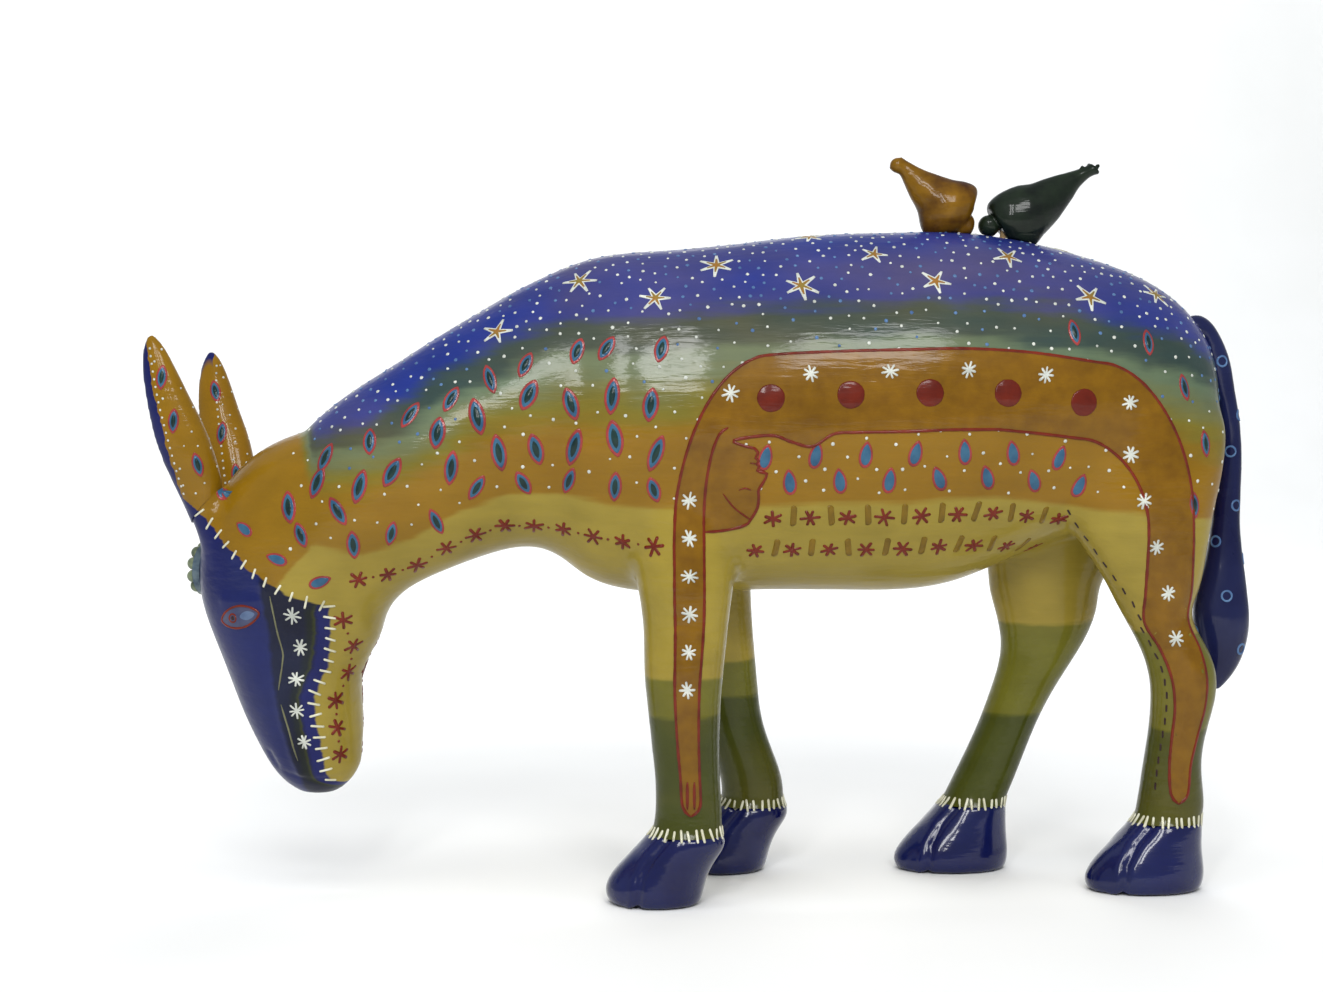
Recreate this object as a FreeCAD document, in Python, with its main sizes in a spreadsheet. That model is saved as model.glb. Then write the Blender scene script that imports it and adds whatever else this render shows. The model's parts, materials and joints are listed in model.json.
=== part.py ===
"""Carved and painted grazing donkey with two birds pegged on its back.

The figure stands on the plane Z = 0 with its origin under the middle of its box.
Its head points along -X, its tail along +X, and its left flank faces -Y.
Every carved block is a loft through oval sections.  Neighbouring blocks share the oval
at their glue joint, so their faces meet exactly, and birch dowels cross each joint.
"""
import FreeCAD, Part
import math
import os

doc = FreeCAD.newDocument("grazing_donkey")
sheet = doc.addObject("Spreadsheet::Sheet", "Sizes")

# Each oval is one row: along (X), side (Y), up (Z), deep (half size in the plane of the
# spine), wide (half size across it), tilt (90 = the oval stands upright, 0 = it lies flat)
# and turn (about the vertical through the frame's origin).
FIELDS = ("along", "side", "up", "deep", "wide", "tilt", "turn")


def across(top, bottom, wide, turn):
    """The oval that reaches between two points (along, up) of the outline in the plane of the spine."""
    tilt = math.degrees(math.atan2(top[1] - bottom[1], top[0] - bottom[0]))
    return ((top[0] + bottom[0]) / 2, 0, (top[1] + bottom[1]) / 2, math.dist(top, bottom) / 2, wide, tilt, turn)


OVALS = {
    # trunk of the body, from the neck joint to the rump
    "torso": [
        (-49, 0, 196.5, 65.0, 42, 90, 0),
        (-25, 0, 195.0, 71.0, 47, 90, 0),
        (10, 0, 196.5, 72.5, 51, 90, 0),
        (50, 0, 198.7, 74.7, 53, 90, 0),
        (90, 0, 199.5, 75.5, 53, 90, 0),
        (125, 0, 203.3, 70.2, 51, 90, 0),
        (155, 0, 206.5, 61.0, 48, 90, 0),
        (185, 0, 206.3, 51.7, 43, 90, 0),
        (203, 0, 206.0, 41.5, 35, 90, 0),
        (214, 0, 206.0, 29.5, 26, 90, 0),
        (220, 0, 206.0, 16.5, 15, 90, 0),
        (221.5, 0, 206.0, 8.0, 8, 90, 0),
    ],
    # neck, measured from the vertical line that it turns about; crest, throat, half width, turn
    "neck": [
        across((53, 246), (63, 143), 38, 0),
        across((20, 226), (40, 137), 34.5, -3),
        across((-5, 210), (18, 128), 32.5, -8),
        across((-28, 191.5), (2, 106.5), 31.5, -15),
    ],
    # back of the head with the jaw, on the neck's turning line
    "poll": [
        across((-56, 178), (-2, 100), 32, -20),
        across((-75, 148), (-7, 90), 30.5, -22),
    ],
    # face, from the eyes down to the muzzle
    "face": [
        across((-76.5, 122), (-7.5, 78), 28.5, -22),
        across((-67, 97.5), (-7, 65.5), 25, -22),
        across((-57, 72.5), (-7.5, 56.5), 21, -22),
        across((-47, 53), (-9, 49), 16.2, -22),
        across((-38, 43), (-15, 42), 9.6, -22),
        across((-31.5, 39.5), (-20.5, 39.5), 5, -22),
    ],
    # shoulder and haunch stubs carved on the trunk; the last oval is the leg's glue joint
    "front_left_stub": [
        (-12, -20, 190, 32.0, 20.0, 0, 0),
        (-9, -27, 155, 24.0, 18.0, 0, 0),
        (-7.5, -31, 125, 19.5, 16.5, 0, 0),
    ],
    "front_right_stub": [
        (-8, 20, 190, 32.0, 20.0, 0, 0),
        (2, 27, 155, 24.0, 18.0, 0, 0),
        (8, 30, 125, 19.5, 16.5, 0, 0),
    ],
    "rear_left_stub": [
        (176.5, -22, 200, 43.5, 22.0, 0, 0),
        (179.5, -23, 180, 40.5, 21.0, 0, 0),
        (181.5, -24, 163, 34.5, 20.0, 0, 0),
        (186, -25.5, 141, 25.8, 17.5, 0, 0),
        (189.5, -26, 122, 17.7, 15.0, 0, 0),
    ],
    "rear_right_stub": [
        (174, 22, 200, 42.0, 22.0, 0, 0),
        (172, 23, 180, 40.0, 21.0, 0, 0),
        (166, 24, 158, 35.5, 19.5, 0, 0),
        (155.5, 25, 122, 24.5, 17.0, 0, 0),
    ],
    # legs, below their glue joints, down to the tops of the hooves
    "front_left_leg": [
        (-8, -32.5, 104, 17.0, 15.0, 0, 0),
        (-8.5, -34, 85, 15.5, 14.0, 0, 0),
        (-8, -35, 66, 13.8, 13.0, 0, 0),
        (-7, -35.5, 48, 13.2, 12.5, 0, 0),
        (-7.7, -36, 28, 14.3, 13.0, 0, 0),
    ],
    "front_right_leg": [
        (11.5, 30.5, 104, 16.5, 15.0, 0, 0),
        (13.7, 31, 89, 15.5, 14.0, 0, 0),
        (16, 31, 75, 14.5, 13.0, 0, 0),
        (21.5, 31, 56, 13.5, 12.5, 0, 0),
        (26.5, 31, 42, 13.5, 12.5, 0, 0),
        (27.5, 31, 28, 13.7, 13.0, 0, 0),
    ],
    "rear_left_leg": [
        (195, -26, 106, 13.8, 12.5, 0, 0),
        (202, -26, 84, 13.8, 12.0, 0, 0),
        (199.5, -25.5, 64, 12.0, 11.5, 0, 0),
        (197.7, -25, 44, 13.0, 12.0, 0, 0),
        (195.5, -25, 28, 13.8, 12.5, 0, 0),
    ],
    "rear_right_leg": [
        (156.5, 25, 108, 21.2, 15.0, 0, 0),
        (153.8, 25, 95, 17.2, 14.0, 0, 0),
        (148.3, 25, 82, 14.4, 13.0, 0, 0),
        (142.3, 25, 69, 13.0, 12.4, 0, 0),
        (131, 25, 43, 13.2, 12.3, 0, 0),
        (124, 25, 28, 13.8, 12.5, 0, 0),
    ],
    # hooves, measured from the middle of their ankle
    "front_hoof": [
        (-0.5, 0, 28, 15.5, 14.2, 0, 0),
        (-2.5, 0, 23, 17.8, 15.5, 0, 0),
        (-10, 0, 13, 19.5, 16.8, 0, 0),
        (-13.2, 0, 3.5, 19.8, 17.5, 0, 0),
        (-13, 0, 0, 18.2, 16.2, 0, 0),
    ],
    "rear_hoof": [
        (0, 0, 28, 15.0, 13.6, 0, 0),
        (-2.2, 0, 23, 17.0, 14.8, 0, 0),
        (-6.5, 0, 14, 21.7, 16.4, 0, 0),
        (-9.3, 0, 3.5, 24.8, 17.4, 0, 0),
        (-9.3, 0, 0, 23.5, 16.4, 0, 0),
    ],
    # tail, from its seat on the rump to the tip of the tuft
    "tail": [
        (212, 0, 233.5, 6.0, 6.0, 115, 0),
        (217, 0, 234.5, 5.5, 5.5, 80, 0),
        (221.3, 0, 228, 5.2, 5.2, 35, 0),
        (227.3, 0, 207, 4.8, 4.8, 14, 0),
        (230.5, 0, 187, 4.4, 4.4, 3, 0),
        (229, 0, 160, 5.6, 5.2, -2, 0),
        (228, 0, 136, 8.2, 7.0, -2, 0),
        (226.8, 0, 116, 12.0, 9.0, -2, 0),
        (227, 0, 101, 11.0, 8.4, -4, 0),
        (226, 0, 87, 6.0, 4.8, -8, 0),
        (224.3, 0, 80, 2.0, 1.8, -8, 0),
    ],
    # root of the ear carved on the head; its last oval is the ear's parting face
    "ear_root": [
        (1, 0, -10, 10.5, 8.8, 40, 0),
        (0, 0, -1, 9.9, 8.3, 36, 0),
        (0, 0, 6, 9.4, 8.0, 30, 0),
    ],
    # ear and the hollow in its front, measured up its own axis from where it meets the head
    "ear": [
        (0.3, 0, 12, 9.7, 8.1, 16, 0),
        (0, 0, 20, 10.4, 8.3, 0, 0),
        (-0.8, 0, 38, 11.5, 8.2, 0, 0),
        (-0.8, 0, 52, 9.8, 7.2, 0, 0),
        (0, 0, 68, 7.0, 5.0, 0, 0),
        (1.2, 0, 77, 3.8, 3.0, 0, 0),
        (1.8, 0, 81, 1.2, 1.1, 0, 0),
    ],
    "ear_hollow": [
        (-10.8, 0, 14, 1.6, 1.4, 0, 0),
        (-11.6, 0, 24, 5.4, 4.2, 0, 0),
        (-12.4, 0, 38, 6.8, 5.2, 0, 0),
        (-10.8, 0, 52, 5.4, 4.4, 0, 0),
        (-7.4, 0, 66, 3.2, 2.6, 0, 0),
        (-4.6, 0, 73, 1.2, 1.0, 0, 0),
    ],
    # birds, measured from the middle of their foot, tail tip first
    "yellow_bird": [
        (-22.0, 0, 28.6, 3.6, 3.0, 45, 0),
        (-15.8, 0, 24.5, 4.2, 3.6, 40, 0),
        (-10.9, 0, 19.9, 6.8, 5.4, 40, 0),
        (-4.4, 0, 14.6, 10.4, 8.2, 43, 0),
        (1.8, 0, 9.4, 14.0, 9.8, 43, 0),
        (5.4, 0, 7.6, 11.2, 8.8, 47, 0),
        (9.0, 0, 5.2, 5.8, 5.0, 60, 0),
    ],
    "green_bird": [
        (34.6, 0, 34.6, 3.0, 2.8, 140, 0),
        (25.2, 0, 28.0, 4.5, 4.0, 142, 0),
        (20.0, 0, 22.8, 7.2, 5.8, 139, 0),
        (14.2, 0, 17.0, 9.8, 8.0, 133, 0),
        (7.2, 0, 11.4, 12.4, 9.6, 129, 0),
        (1.8, 0, 7.2, 12.6, 9.4, 130, 0),
        (-4.0, 0, 5.0, 7.6, 6.2, 130, 0),
    ],
}

# Single sizes: places of the frames, dowels, pegs, clearances and the wreath.
SIZES = {
    "move_x": -4.36,
    "move_y": -4.73,
    "neck_pivot": -135.0,
    "head_turn": -22.0,
    "front_left_toe_in": -14.0,
    "front_right_toe_in": 0.0,
    "rear_left_toe_in": 0.0,
    "rear_right_toe_in": 0.0,
    "left_ear_along": -65.5,
    "right_ear_along": -68.0,
    "ear_side": 17.0,
    "left_ear_up": 154.0,
    "right_ear_up": 148.5,
    "ear_lean": 17.0,
    "ear_splay": 8.0,
    "ear_tang_deep": 5.0,
    "ear_tang_wide": 4.2,
    "ear_tang_long": 16.0,
    "seat_gap": 0.3,
    "socket_gap": 0.3,
    "socket_end_gap": 1.0,
    "seat_reach": 30.0,
    "yellow_bird_along": 106.0,
    "yellow_bird_up": 275.5,
    "yellow_bird_tilt": 0.0,
    "green_bird_along": 131.0,
    "green_bird_up": 273.0,
    "green_bird_tilt": 8.0,
    "yellow_head_along": 7.6,
    "yellow_head_up": 3.6,
    "green_head_along": -7.2,
    "green_head_up": 4.0,
    "bird_head_radius": 4.6,
    "bird_box": 80.0,
    "bird_peg_radius": 2.0,
    "bird_peg_long": 18.0,
    "bird_peg_in_bird": 8.0,
    "tail_peg_radius": 2.5,
    "tail_peg_long": 24.0,
    "tail_peg_in_tail": 5.0,
    "glue_gap": 0.1,
    "glue_end_gap": 1.0,
    "body_dowel_radius": 5.0,
    "body_dowel_long": 44.0,
    "body_dowel_reach": 28.0,
    "head_dowel_radius": 4.0,
    "head_dowel_long": 30.0,
    "head_dowel_reach": 18.0,
    "leg_dowel_radius": 5.0,
    "leg_dowel_long": 44.0,
    "hoof_dowel_radius": 3.0,
    "hoof_dowel_long": 26.0,
    "wreath_up": 132.5,
    "wreath_seat": -75.0,
    "wreath_lean": 2.0,
    "wreath_radius": 11.0,
    "wreath_thick": 3.2,
    "wreath_bead_ring": 8.6,
    "wreath_bead_radius": 2.7,
    "wreath_bead_sink": 0.8,
    "wreath_centre_radius": 5.6,
    "wreath_centre_sink": 3.6,
}
WREATH_BEADS = 10
TAIL_OVALS_LET_IN = 7


def fill_sheet():
    """Write every size into the sheet, one named cell a size."""
    row = 1
    for name, ovals in OVALS.items():
        for number, values in enumerate(ovals, start=1):
            for column, field, value in zip("BCDEFGH", FIELDS, values):
                cell = f"{column}{row}"
                sheet.set(cell, str(value))
                sheet.setAlias(cell, f"{name}_{number}_{field}")
            sheet.set(f"A{row}", f"{name} {number}")
            row += 1
    for name, value in SIZES.items():
        sheet.set(f"A{row}", name)
        sheet.set(f"B{row}", str(value))
        sheet.setAlias(f"B{row}", name)
        row += 1
    doc.recompute()


def put(along="0", side="0", up="0", axis="0; 0; 1", angle="0"):
    """Expression of one placement: a shift, then a turn about an axis."""
    return f"placement(vector({along}; {side}; {up}); rotation(vector({axis}); {angle}))"


BODY = put("Sizes.move_x", "Sizes.move_y")
NECK = put("Sizes.neck_pivot + Sizes.move_x", "Sizes.move_y")
HEAD = f"{NECK} * {put(angle='Sizes.head_turn')}"


def oval(name, number, frame, prefix="", gap="0"):
    """One oval section of a block, in the block's frame, grown by a gap."""
    row = f"Sizes.{name}_{number}_"
    section = doc.addObject("Part::Ellipse", f"{prefix}{name}_oval_{number}")
    section.setExpression("MajorRadius", f"{row}deep + {gap}")
    section.setExpression("MinorRadius", f"{row}wide + {gap}")
    turned = put(angle=f"{row}turn")
    stood = put(f"{row}along", f"{row}side", f"{row}up", "0; 1; 0", f"-{row}tilt")
    section.setExpression("Placement", f"{frame} * {turned} * {stood}")
    return section


def ovals(name, frame, prefix=""):
    """All the oval sections of a block."""
    return [oval(name, number, frame, prefix) for number in range(1, len(OVALS[name]) + 1)]


def room_for(block, name, count, frame, gap, prefix=""):
    """Cutter that leaves a gap round the first ovals of a piece let into another."""
    grown = [oval(name, number, frame, f"{prefix}room_", gap) for number in range(1, count + 1)]
    return loft(block, grown)


def loft(name, sections):
    """Solid skinned through its sections."""
    body = doc.addObject("Part::Loft", name)
    body.Sections = sections
    body.Solid = True
    return body


def join(name, shapes):
    """Several solids carved as one."""
    body = doc.addObject("Part::MultiFuse", name)
    body.Shapes = shapes
    return body


def group(name, shapes):
    """Separate loose solids kept in one node."""
    body = doc.addObject("Part::Compound", name)
    body.Links = shapes
    return body


def cut(name, base, tools):
    """A block with its bores, sockets and seats taken out."""
    tool = tools[0] if len(tools) == 1 else group(f"{name}_tools", tools)
    body = doc.addObject("Part::Cut", name)
    body.Base = base
    body.Tool = tool
    return body


def rod(name, frame, radius, length, start):
    """Round rod along its frame's Z, from the height start."""
    body = doc.addObject("Part::Cylinder", name)
    body.setExpression("Radius", radius)
    body.setExpression("Height", length)
    body.setExpression("Placement", f"{frame} * {put(up=start)}")
    return body


def oval_post(name, frame, deep, wide, low, high):
    """Post of constant oval section along its frame's Z."""
    ends = []
    for level, height in (("low", low), ("high", high)):
        end = doc.addObject("Part::Ellipse", f"{name}_{level}")
        end.setExpression("MajorRadius", deep)
        end.setExpression("MinorRadius", wide)
        end.setExpression("Placement", f"{frame} * {put(up=height)}")
        ends.append(end)
    return loft(name, ends)


def glue_joint(name, frame, size):
    """A dowel across a glue joint, and the pair of blind bores that it sits in."""
    radius = f"Sizes.{size}_radius"
    length = f"Sizes.{size}_long"
    dowel = rod(f"{name}_dowel", frame, radius, length, f"-{length} / 2")
    bore = rod(
        f"{name}_bore", frame, f"{radius} + Sizes.glue_gap",
        f"{length} + 2 * Sizes.glue_end_gap", f"-{length} / 2 - Sizes.glue_end_gap",
    )
    return dowel, bore


def pull_peg(name, frame, size, held):
    """Round peg glued in a piece that pulls out along +Z, its glue bore and its socket."""
    radius = f"Sizes.{size}_radius"
    length = f"Sizes.{size}_long"
    sunk = f"({length} - {held})"
    peg = rod(f"{name}_peg", frame, radius, length, f"-{sunk}")
    bore = rod(
        f"{name}_bore", frame, f"{radius} + Sizes.glue_gap",
        f"{held} + 2 * Sizes.glue_end_gap", "-Sizes.glue_end_gap",
    )
    socket = rod(
        f"{name}_socket", frame, f"{radius} + Sizes.socket_gap",
        f"{sunk} + 2 * Sizes.socket_end_gap", f"-{sunk} - Sizes.socket_end_gap",
    )
    return peg, bore, socket


fill_sheet()
parts = {}

# ---------------------------------------------------------------- glue joints
torso_ovals = ovals("torso", BODY)
neck_ovals = ovals("neck", NECK)
poll_ovals = ovals("poll", NECK)
face_ovals = ovals("face", NECK)
neck_joint = torso_ovals[0]
head_joint = neck_ovals[-1]

neck_dowels, neck_bores = [], []
head_dowels, head_bores = [], []
for side, sign in (("upper", ""), ("lower", "-")):
    place = f"{neck_joint.Name}.Placement * {put(f'{sign}Sizes.body_dowel_reach')}"
    dowel, bore = glue_joint(f"neck_{side}", place, "body_dowel")
    neck_dowels.append(dowel)
    neck_bores.append(bore)
    place = f"{head_joint.Name}.Placement * {put(f'{sign}Sizes.head_dowel_reach')}"
    dowel, bore = glue_joint(f"head_{side}", place, "head_dowel")
    head_dowels.append(dowel)
    head_bores.append(bore)
parts["neck_dowels"] = group("neck_dowels", neck_dowels)
parts["head_dowels"] = group("head_dowels", head_dowels)

# ---------------------------------------------------------------- legs and hooves
stubs, leg_dowels, leg_bores, hoof_dowels = [], [], [], []
for corner in ("front_left", "front_right", "rear_left", "rear_right"):
    end = corner.split("_")[0]
    stub_ovals = ovals(f"{corner}_stub", BODY)
    leg_ovals = ovals(f"{corner}_leg", BODY)
    stubs.append(loft(f"{corner}_stub", stub_ovals))

    dowel, leg_bore = glue_joint(f"{corner}_leg", f"{stub_ovals[-1].Name}.Placement", "leg_dowel")
    leg_dowels.append(dowel)
    leg_bores.append(leg_bore)
    ankle = f"{leg_ovals[-1].Name}.Placement"
    dowel, hoof_bore = glue_joint(f"{corner}_hoof", ankle, "hoof_dowel")
    hoof_dowels.append(dowel)

    leg_block = loft(f"{corner}_leg_block", [stub_ovals[-1]] + leg_ovals)
    parts[f"{corner}_leg"] = cut(f"{corner}_leg", leg_block, [leg_bore, hoof_bore])

    row = f"Sizes.{corner}_leg_{len(OVALS[corner + '_leg'])}_"
    foot = f"{BODY} * {put(f'{row}along', f'{row}side', angle=f'Sizes.{corner}_toe_in')}"
    hoof_block = loft(f"{corner}_hoof_block", ovals(f"{end}_hoof", foot, f"{corner}_"))
    parts[f"{corner}_hoof"] = cut(f"{corner}_hoof", hoof_block, [hoof_bore])
parts["leg_dowels"] = group("leg_dowels", leg_dowels)
parts["hoof_dowels"] = group("hoof_dowels", hoof_dowels)

# ---------------------------------------------------------------- tail
tail_ovals = ovals("tail", BODY)
# the seat's oval faces into the rump, so its frame is turned over to face outwards
tail_seat = f"{tail_ovals[0].Name}.Placement * {put(axis='1; 0; 0', angle='180')}"
peg, tail_bore, tail_socket = pull_peg("tail", tail_seat, "tail_peg", "Sizes.tail_peg_in_tail")
parts["tail_peg"] = peg
parts["tail"] = cut("tail", loft("tail_block", tail_ovals), [tail_bore])
tail_recess = rod(
    "tail_recess", tail_seat, "Sizes.tail_1_deep + Sizes.seat_gap",
    "Sizes.seat_reach", "-Sizes.seat_gap",
)
tail_groove = room_for("tail_groove", "tail", TAIL_OVALS_LET_IN, BODY, "2 * Sizes.seat_gap")

# ---------------------------------------------------------------- birds
bird_sockets = []
for bird in ("yellow_bird", "green_bird"):
    colour = bird.split("_")[0]
    foot = f"{BODY} * " + put(
        f"Sizes.{bird}_along", "0", f"Sizes.{bird}_up", "0; 1; 0", f"Sizes.{bird}_tilt")
    carved = loft(f"{bird}_carved", ovals(bird, foot))
    crown = doc.addObject("Part::Sphere", f"{bird}_crown")
    crown.setExpression("Radius", "Sizes.bird_head_radius")
    crown.setExpression(
        "Placement",
        f"{foot} * {put(f'Sizes.{colour}_head_along', '0', f'Sizes.{colour}_head_up')}")
    below = doc.addObject("Part::Box", f"{bird}_below")
    for side in ("Length", "Width", "Height"):
        below.setExpression(side, "Sizes.bird_box")
    half = "-Sizes.bird_box / 2"
    below.setExpression("Placement", f"{foot} * {put(half, half, '-Sizes.bird_box')}")
    peg, bore, socket = pull_peg(bird, foot, "bird_peg", "Sizes.bird_peg_in_bird")
    bird_sockets.append(socket)
    parts[f"{bird}_peg"] = peg
    parts[bird] = cut(bird, join(f"{bird}_block", [carved, crown]), [below, bore])

# ---------------------------------------------------------------- ears
ear_roots, ear_sockets = [], []
for ear, sign in (("left_ear", -1), ("right_ear", 1)):
    stand = (
        f"{HEAD} * {put(f'Sizes.{ear}_along', f'{sign} * Sizes.ear_side', f'Sizes.{ear}_up')}"
        f" * {put(axis='0; 1; 0', angle='-Sizes.ear_lean')}"
        f" * {put(axis='1; 0; 0', angle=f'{-sign} * Sizes.ear_splay')}"
    )
    root_ovals = ovals("ear_root", stand, f"{ear}_")
    ear_roots.append(loft(f"{ear}_root", root_ovals))
    parting = f"{root_ovals[-1].Name}.Placement"
    last_root = len(OVALS["ear_root"])
    foot_oval = oval("ear_root", last_root, stand, f"{ear}_foot_")
    foot_oval.setExpression("Placement", f"{parting} * {put(up='1.2 * Sizes.seat_gap')}")
    blade = loft(f"{ear}_blade", [foot_oval] + ovals("ear", stand, f"{ear}_"))
    hollow = loft(f"{ear}_hollow", ovals("ear_hollow", stand, f"{ear}_"))
    tang = oval_post(
        f"{ear}_tang", parting, "Sizes.ear_tang_deep", "Sizes.ear_tang_wide",
        "-Sizes.ear_tang_long", "2 * Sizes.seat_gap",
    )
    parts[ear] = cut(ear, join(f"{ear}_block", [blade, tang]), [hollow])
    ear_sockets.append(oval_post(
        f"{ear}_socket", parting, "Sizes.ear_tang_deep + Sizes.socket_gap",
        "Sizes.ear_tang_wide + Sizes.socket_gap",
        "-Sizes.ear_tang_long - Sizes.socket_end_gap", "Sizes.seat_gap",
    ))
    # nothing of the head stands above the parting face near the ear
    row = f"Sizes.ear_root_{last_root}_"
    ear_sockets.append(oval_post(
        f"{ear}_room", parting, f"{row}deep + 3 * Sizes.seat_gap", f"{row}wide + 3 * Sizes.seat_gap",
        "0", "Sizes.ear_tang_long",
    ))

# ---------------------------------------------------------------- wreath on the forehead
wreath = (
    f"{HEAD} * {put('Sizes.wreath_seat', '0', 'Sizes.wreath_up', '0; 1; 0', '-90')}"
    f" * {put(axis='0; 1; 0', angle='Sizes.wreath_lean')}"
)
front = f"{wreath} * {put(up='Sizes.wreath_thick')}"
wreath_seat = rod("wreath_seat", wreath, "Sizes.wreath_radius", "Sizes.seat_reach", "0")
parts["wreath_disc"] = rod("wreath_disc", wreath, "Sizes.wreath_radius", "Sizes.wreath_thick", "0")


def dome(name, frame, radius, sunk):
    """Cap of a ball, cut off flat where it is glued down."""
    body = doc.addObject("Part::Sphere", name)
    body.setExpression("Radius", radius)
    body.setExpression("Angle1", f"asin({sunk} / ({radius}))")
    body.setExpression("Placement", f"{frame} * {put(up=f'-({sunk})')}")
    return body


beads = []
for number in range(WREATH_BEADS):
    around = put(angle=f"{number} * 360 / {WREATH_BEADS}")
    place = f"{front} * {around} * {put('Sizes.wreath_bead_ring')}"
    beads.append(dome(
        f"wreath_bead_{number}", place, "Sizes.wreath_bead_radius", "-Sizes.wreath_bead_sink"))
parts["wreath_beads"] = group("wreath_beads", beads)
parts["wreath_centre"] = dome(
    "wreath_centre", front, "Sizes.wreath_centre_radius", "Sizes.wreath_centre_sink")

# ---------------------------------------------------------------- body, neck and head blocks
trunk = join("torso_block", [loft("trunk", torso_ovals)] + stubs)
parts["torso"] = cut(
    "torso", trunk,
    neck_bores + leg_bores + bird_sockets + [tail_recess, tail_groove, tail_socket])
neck_block = loft("neck_block", [neck_joint] + neck_ovals)
parts["neck"] = cut("neck", neck_block, neck_bores + head_bores)
poll_block = loft("poll_block", [head_joint] + poll_ovals)
face_block = loft("face_block", [poll_ovals[-1]] + face_ovals)
head_block = join("head_block", [poll_block, face_block] + ear_roots)
parts["head"] = cut("head", head_block, head_bores + ear_sockets + [wreath_seat])

doc.recompute()

# ---------------------------------------------------------------- checks and export
for item in doc.Objects:
    if "Invalid" in item.State or "Error" in item.State:
        raise RuntimeError(f"{item.Name} failed: {item.State}")
for name, part in parts.items():
    if part.Shape.isNull() or not part.Shape.isValid():
        raise RuntimeError(f"{name} has no valid shape")
    part.Label = name

os.makedirs("parts", exist_ok=True)
for name, part in parts.items():
    part.Shape.exportStep(f"parts/{name}.step")
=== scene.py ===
"""Looks of the carved and painted grazing donkey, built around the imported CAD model.

Lengths are written in millimetres and turned into metres by MM. The head has a frame of its own:
u runs along it (its nose is at the low end), v across it and w upwards.
"""

import json
import math
import random

import bmesh
import bpy
import numpy as np
from mathutils import Matrix, Vector, geometry, noise
from mathutils.bvhtree import BVHTree

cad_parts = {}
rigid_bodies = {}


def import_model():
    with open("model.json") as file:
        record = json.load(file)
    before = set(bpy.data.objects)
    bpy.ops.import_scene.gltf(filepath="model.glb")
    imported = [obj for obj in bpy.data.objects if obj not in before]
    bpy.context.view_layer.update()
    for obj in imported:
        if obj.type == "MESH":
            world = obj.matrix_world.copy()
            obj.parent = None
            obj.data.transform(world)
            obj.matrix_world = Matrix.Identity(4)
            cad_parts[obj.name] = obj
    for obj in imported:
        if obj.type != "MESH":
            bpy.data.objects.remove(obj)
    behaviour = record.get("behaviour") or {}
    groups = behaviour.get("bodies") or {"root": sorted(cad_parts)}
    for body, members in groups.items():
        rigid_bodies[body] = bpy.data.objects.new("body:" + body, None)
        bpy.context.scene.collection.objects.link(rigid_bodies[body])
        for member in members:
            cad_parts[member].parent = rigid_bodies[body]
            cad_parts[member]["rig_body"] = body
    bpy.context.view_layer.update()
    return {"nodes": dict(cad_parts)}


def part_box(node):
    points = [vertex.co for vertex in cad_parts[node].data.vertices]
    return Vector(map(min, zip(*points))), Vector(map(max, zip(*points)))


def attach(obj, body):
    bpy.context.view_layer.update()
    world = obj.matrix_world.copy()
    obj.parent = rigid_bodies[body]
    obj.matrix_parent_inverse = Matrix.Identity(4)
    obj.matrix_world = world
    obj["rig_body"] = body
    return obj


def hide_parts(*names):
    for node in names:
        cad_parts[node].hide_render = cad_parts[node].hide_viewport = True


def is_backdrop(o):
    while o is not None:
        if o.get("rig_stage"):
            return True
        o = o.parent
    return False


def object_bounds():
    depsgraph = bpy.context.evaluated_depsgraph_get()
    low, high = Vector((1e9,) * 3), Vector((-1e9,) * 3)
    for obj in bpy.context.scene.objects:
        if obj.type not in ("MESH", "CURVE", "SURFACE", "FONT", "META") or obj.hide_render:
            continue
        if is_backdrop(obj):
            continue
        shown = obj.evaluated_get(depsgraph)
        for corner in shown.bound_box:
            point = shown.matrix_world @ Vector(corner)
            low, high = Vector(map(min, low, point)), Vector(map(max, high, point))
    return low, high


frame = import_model()
NODES = frame["nodes"]
MM = 0.001
random.seed(11)

CARVED = ["torso", "neck", "head"]
LEGS = ["front_left", "front_right", "rear_left", "rear_right"]
EARS = ["left_ear", "right_ear"]
SIDES = (-1, 1)
MIDDLE_PLANE = -4.7  # the figure's own middle plane, beside the middle of its box
HEAD = Matrix.Translation((-139.4 * MM, MIDDLE_PLANE * MM, 0)) @ Matrix.Rotation(math.radians(-22), 4, "Z")
TO_HEAD = HEAD.inverted()


def srgb(red, green, blue):
    """Linear colour from the 0 to 255 numbers of a colour as it is seen."""
    return [((c / 255 + 0.055) / 1.055) ** 2.4 if c > 10 else c / 3295 for c in (red, green, blue)] + [1.0]


def at(table, x):
    """Value of a border table at x, in mm."""
    return float(np.interp(x, [p[0] for p in table], [p[1] for p in table]))


# ---------------------------------------------------------------- materials


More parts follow.
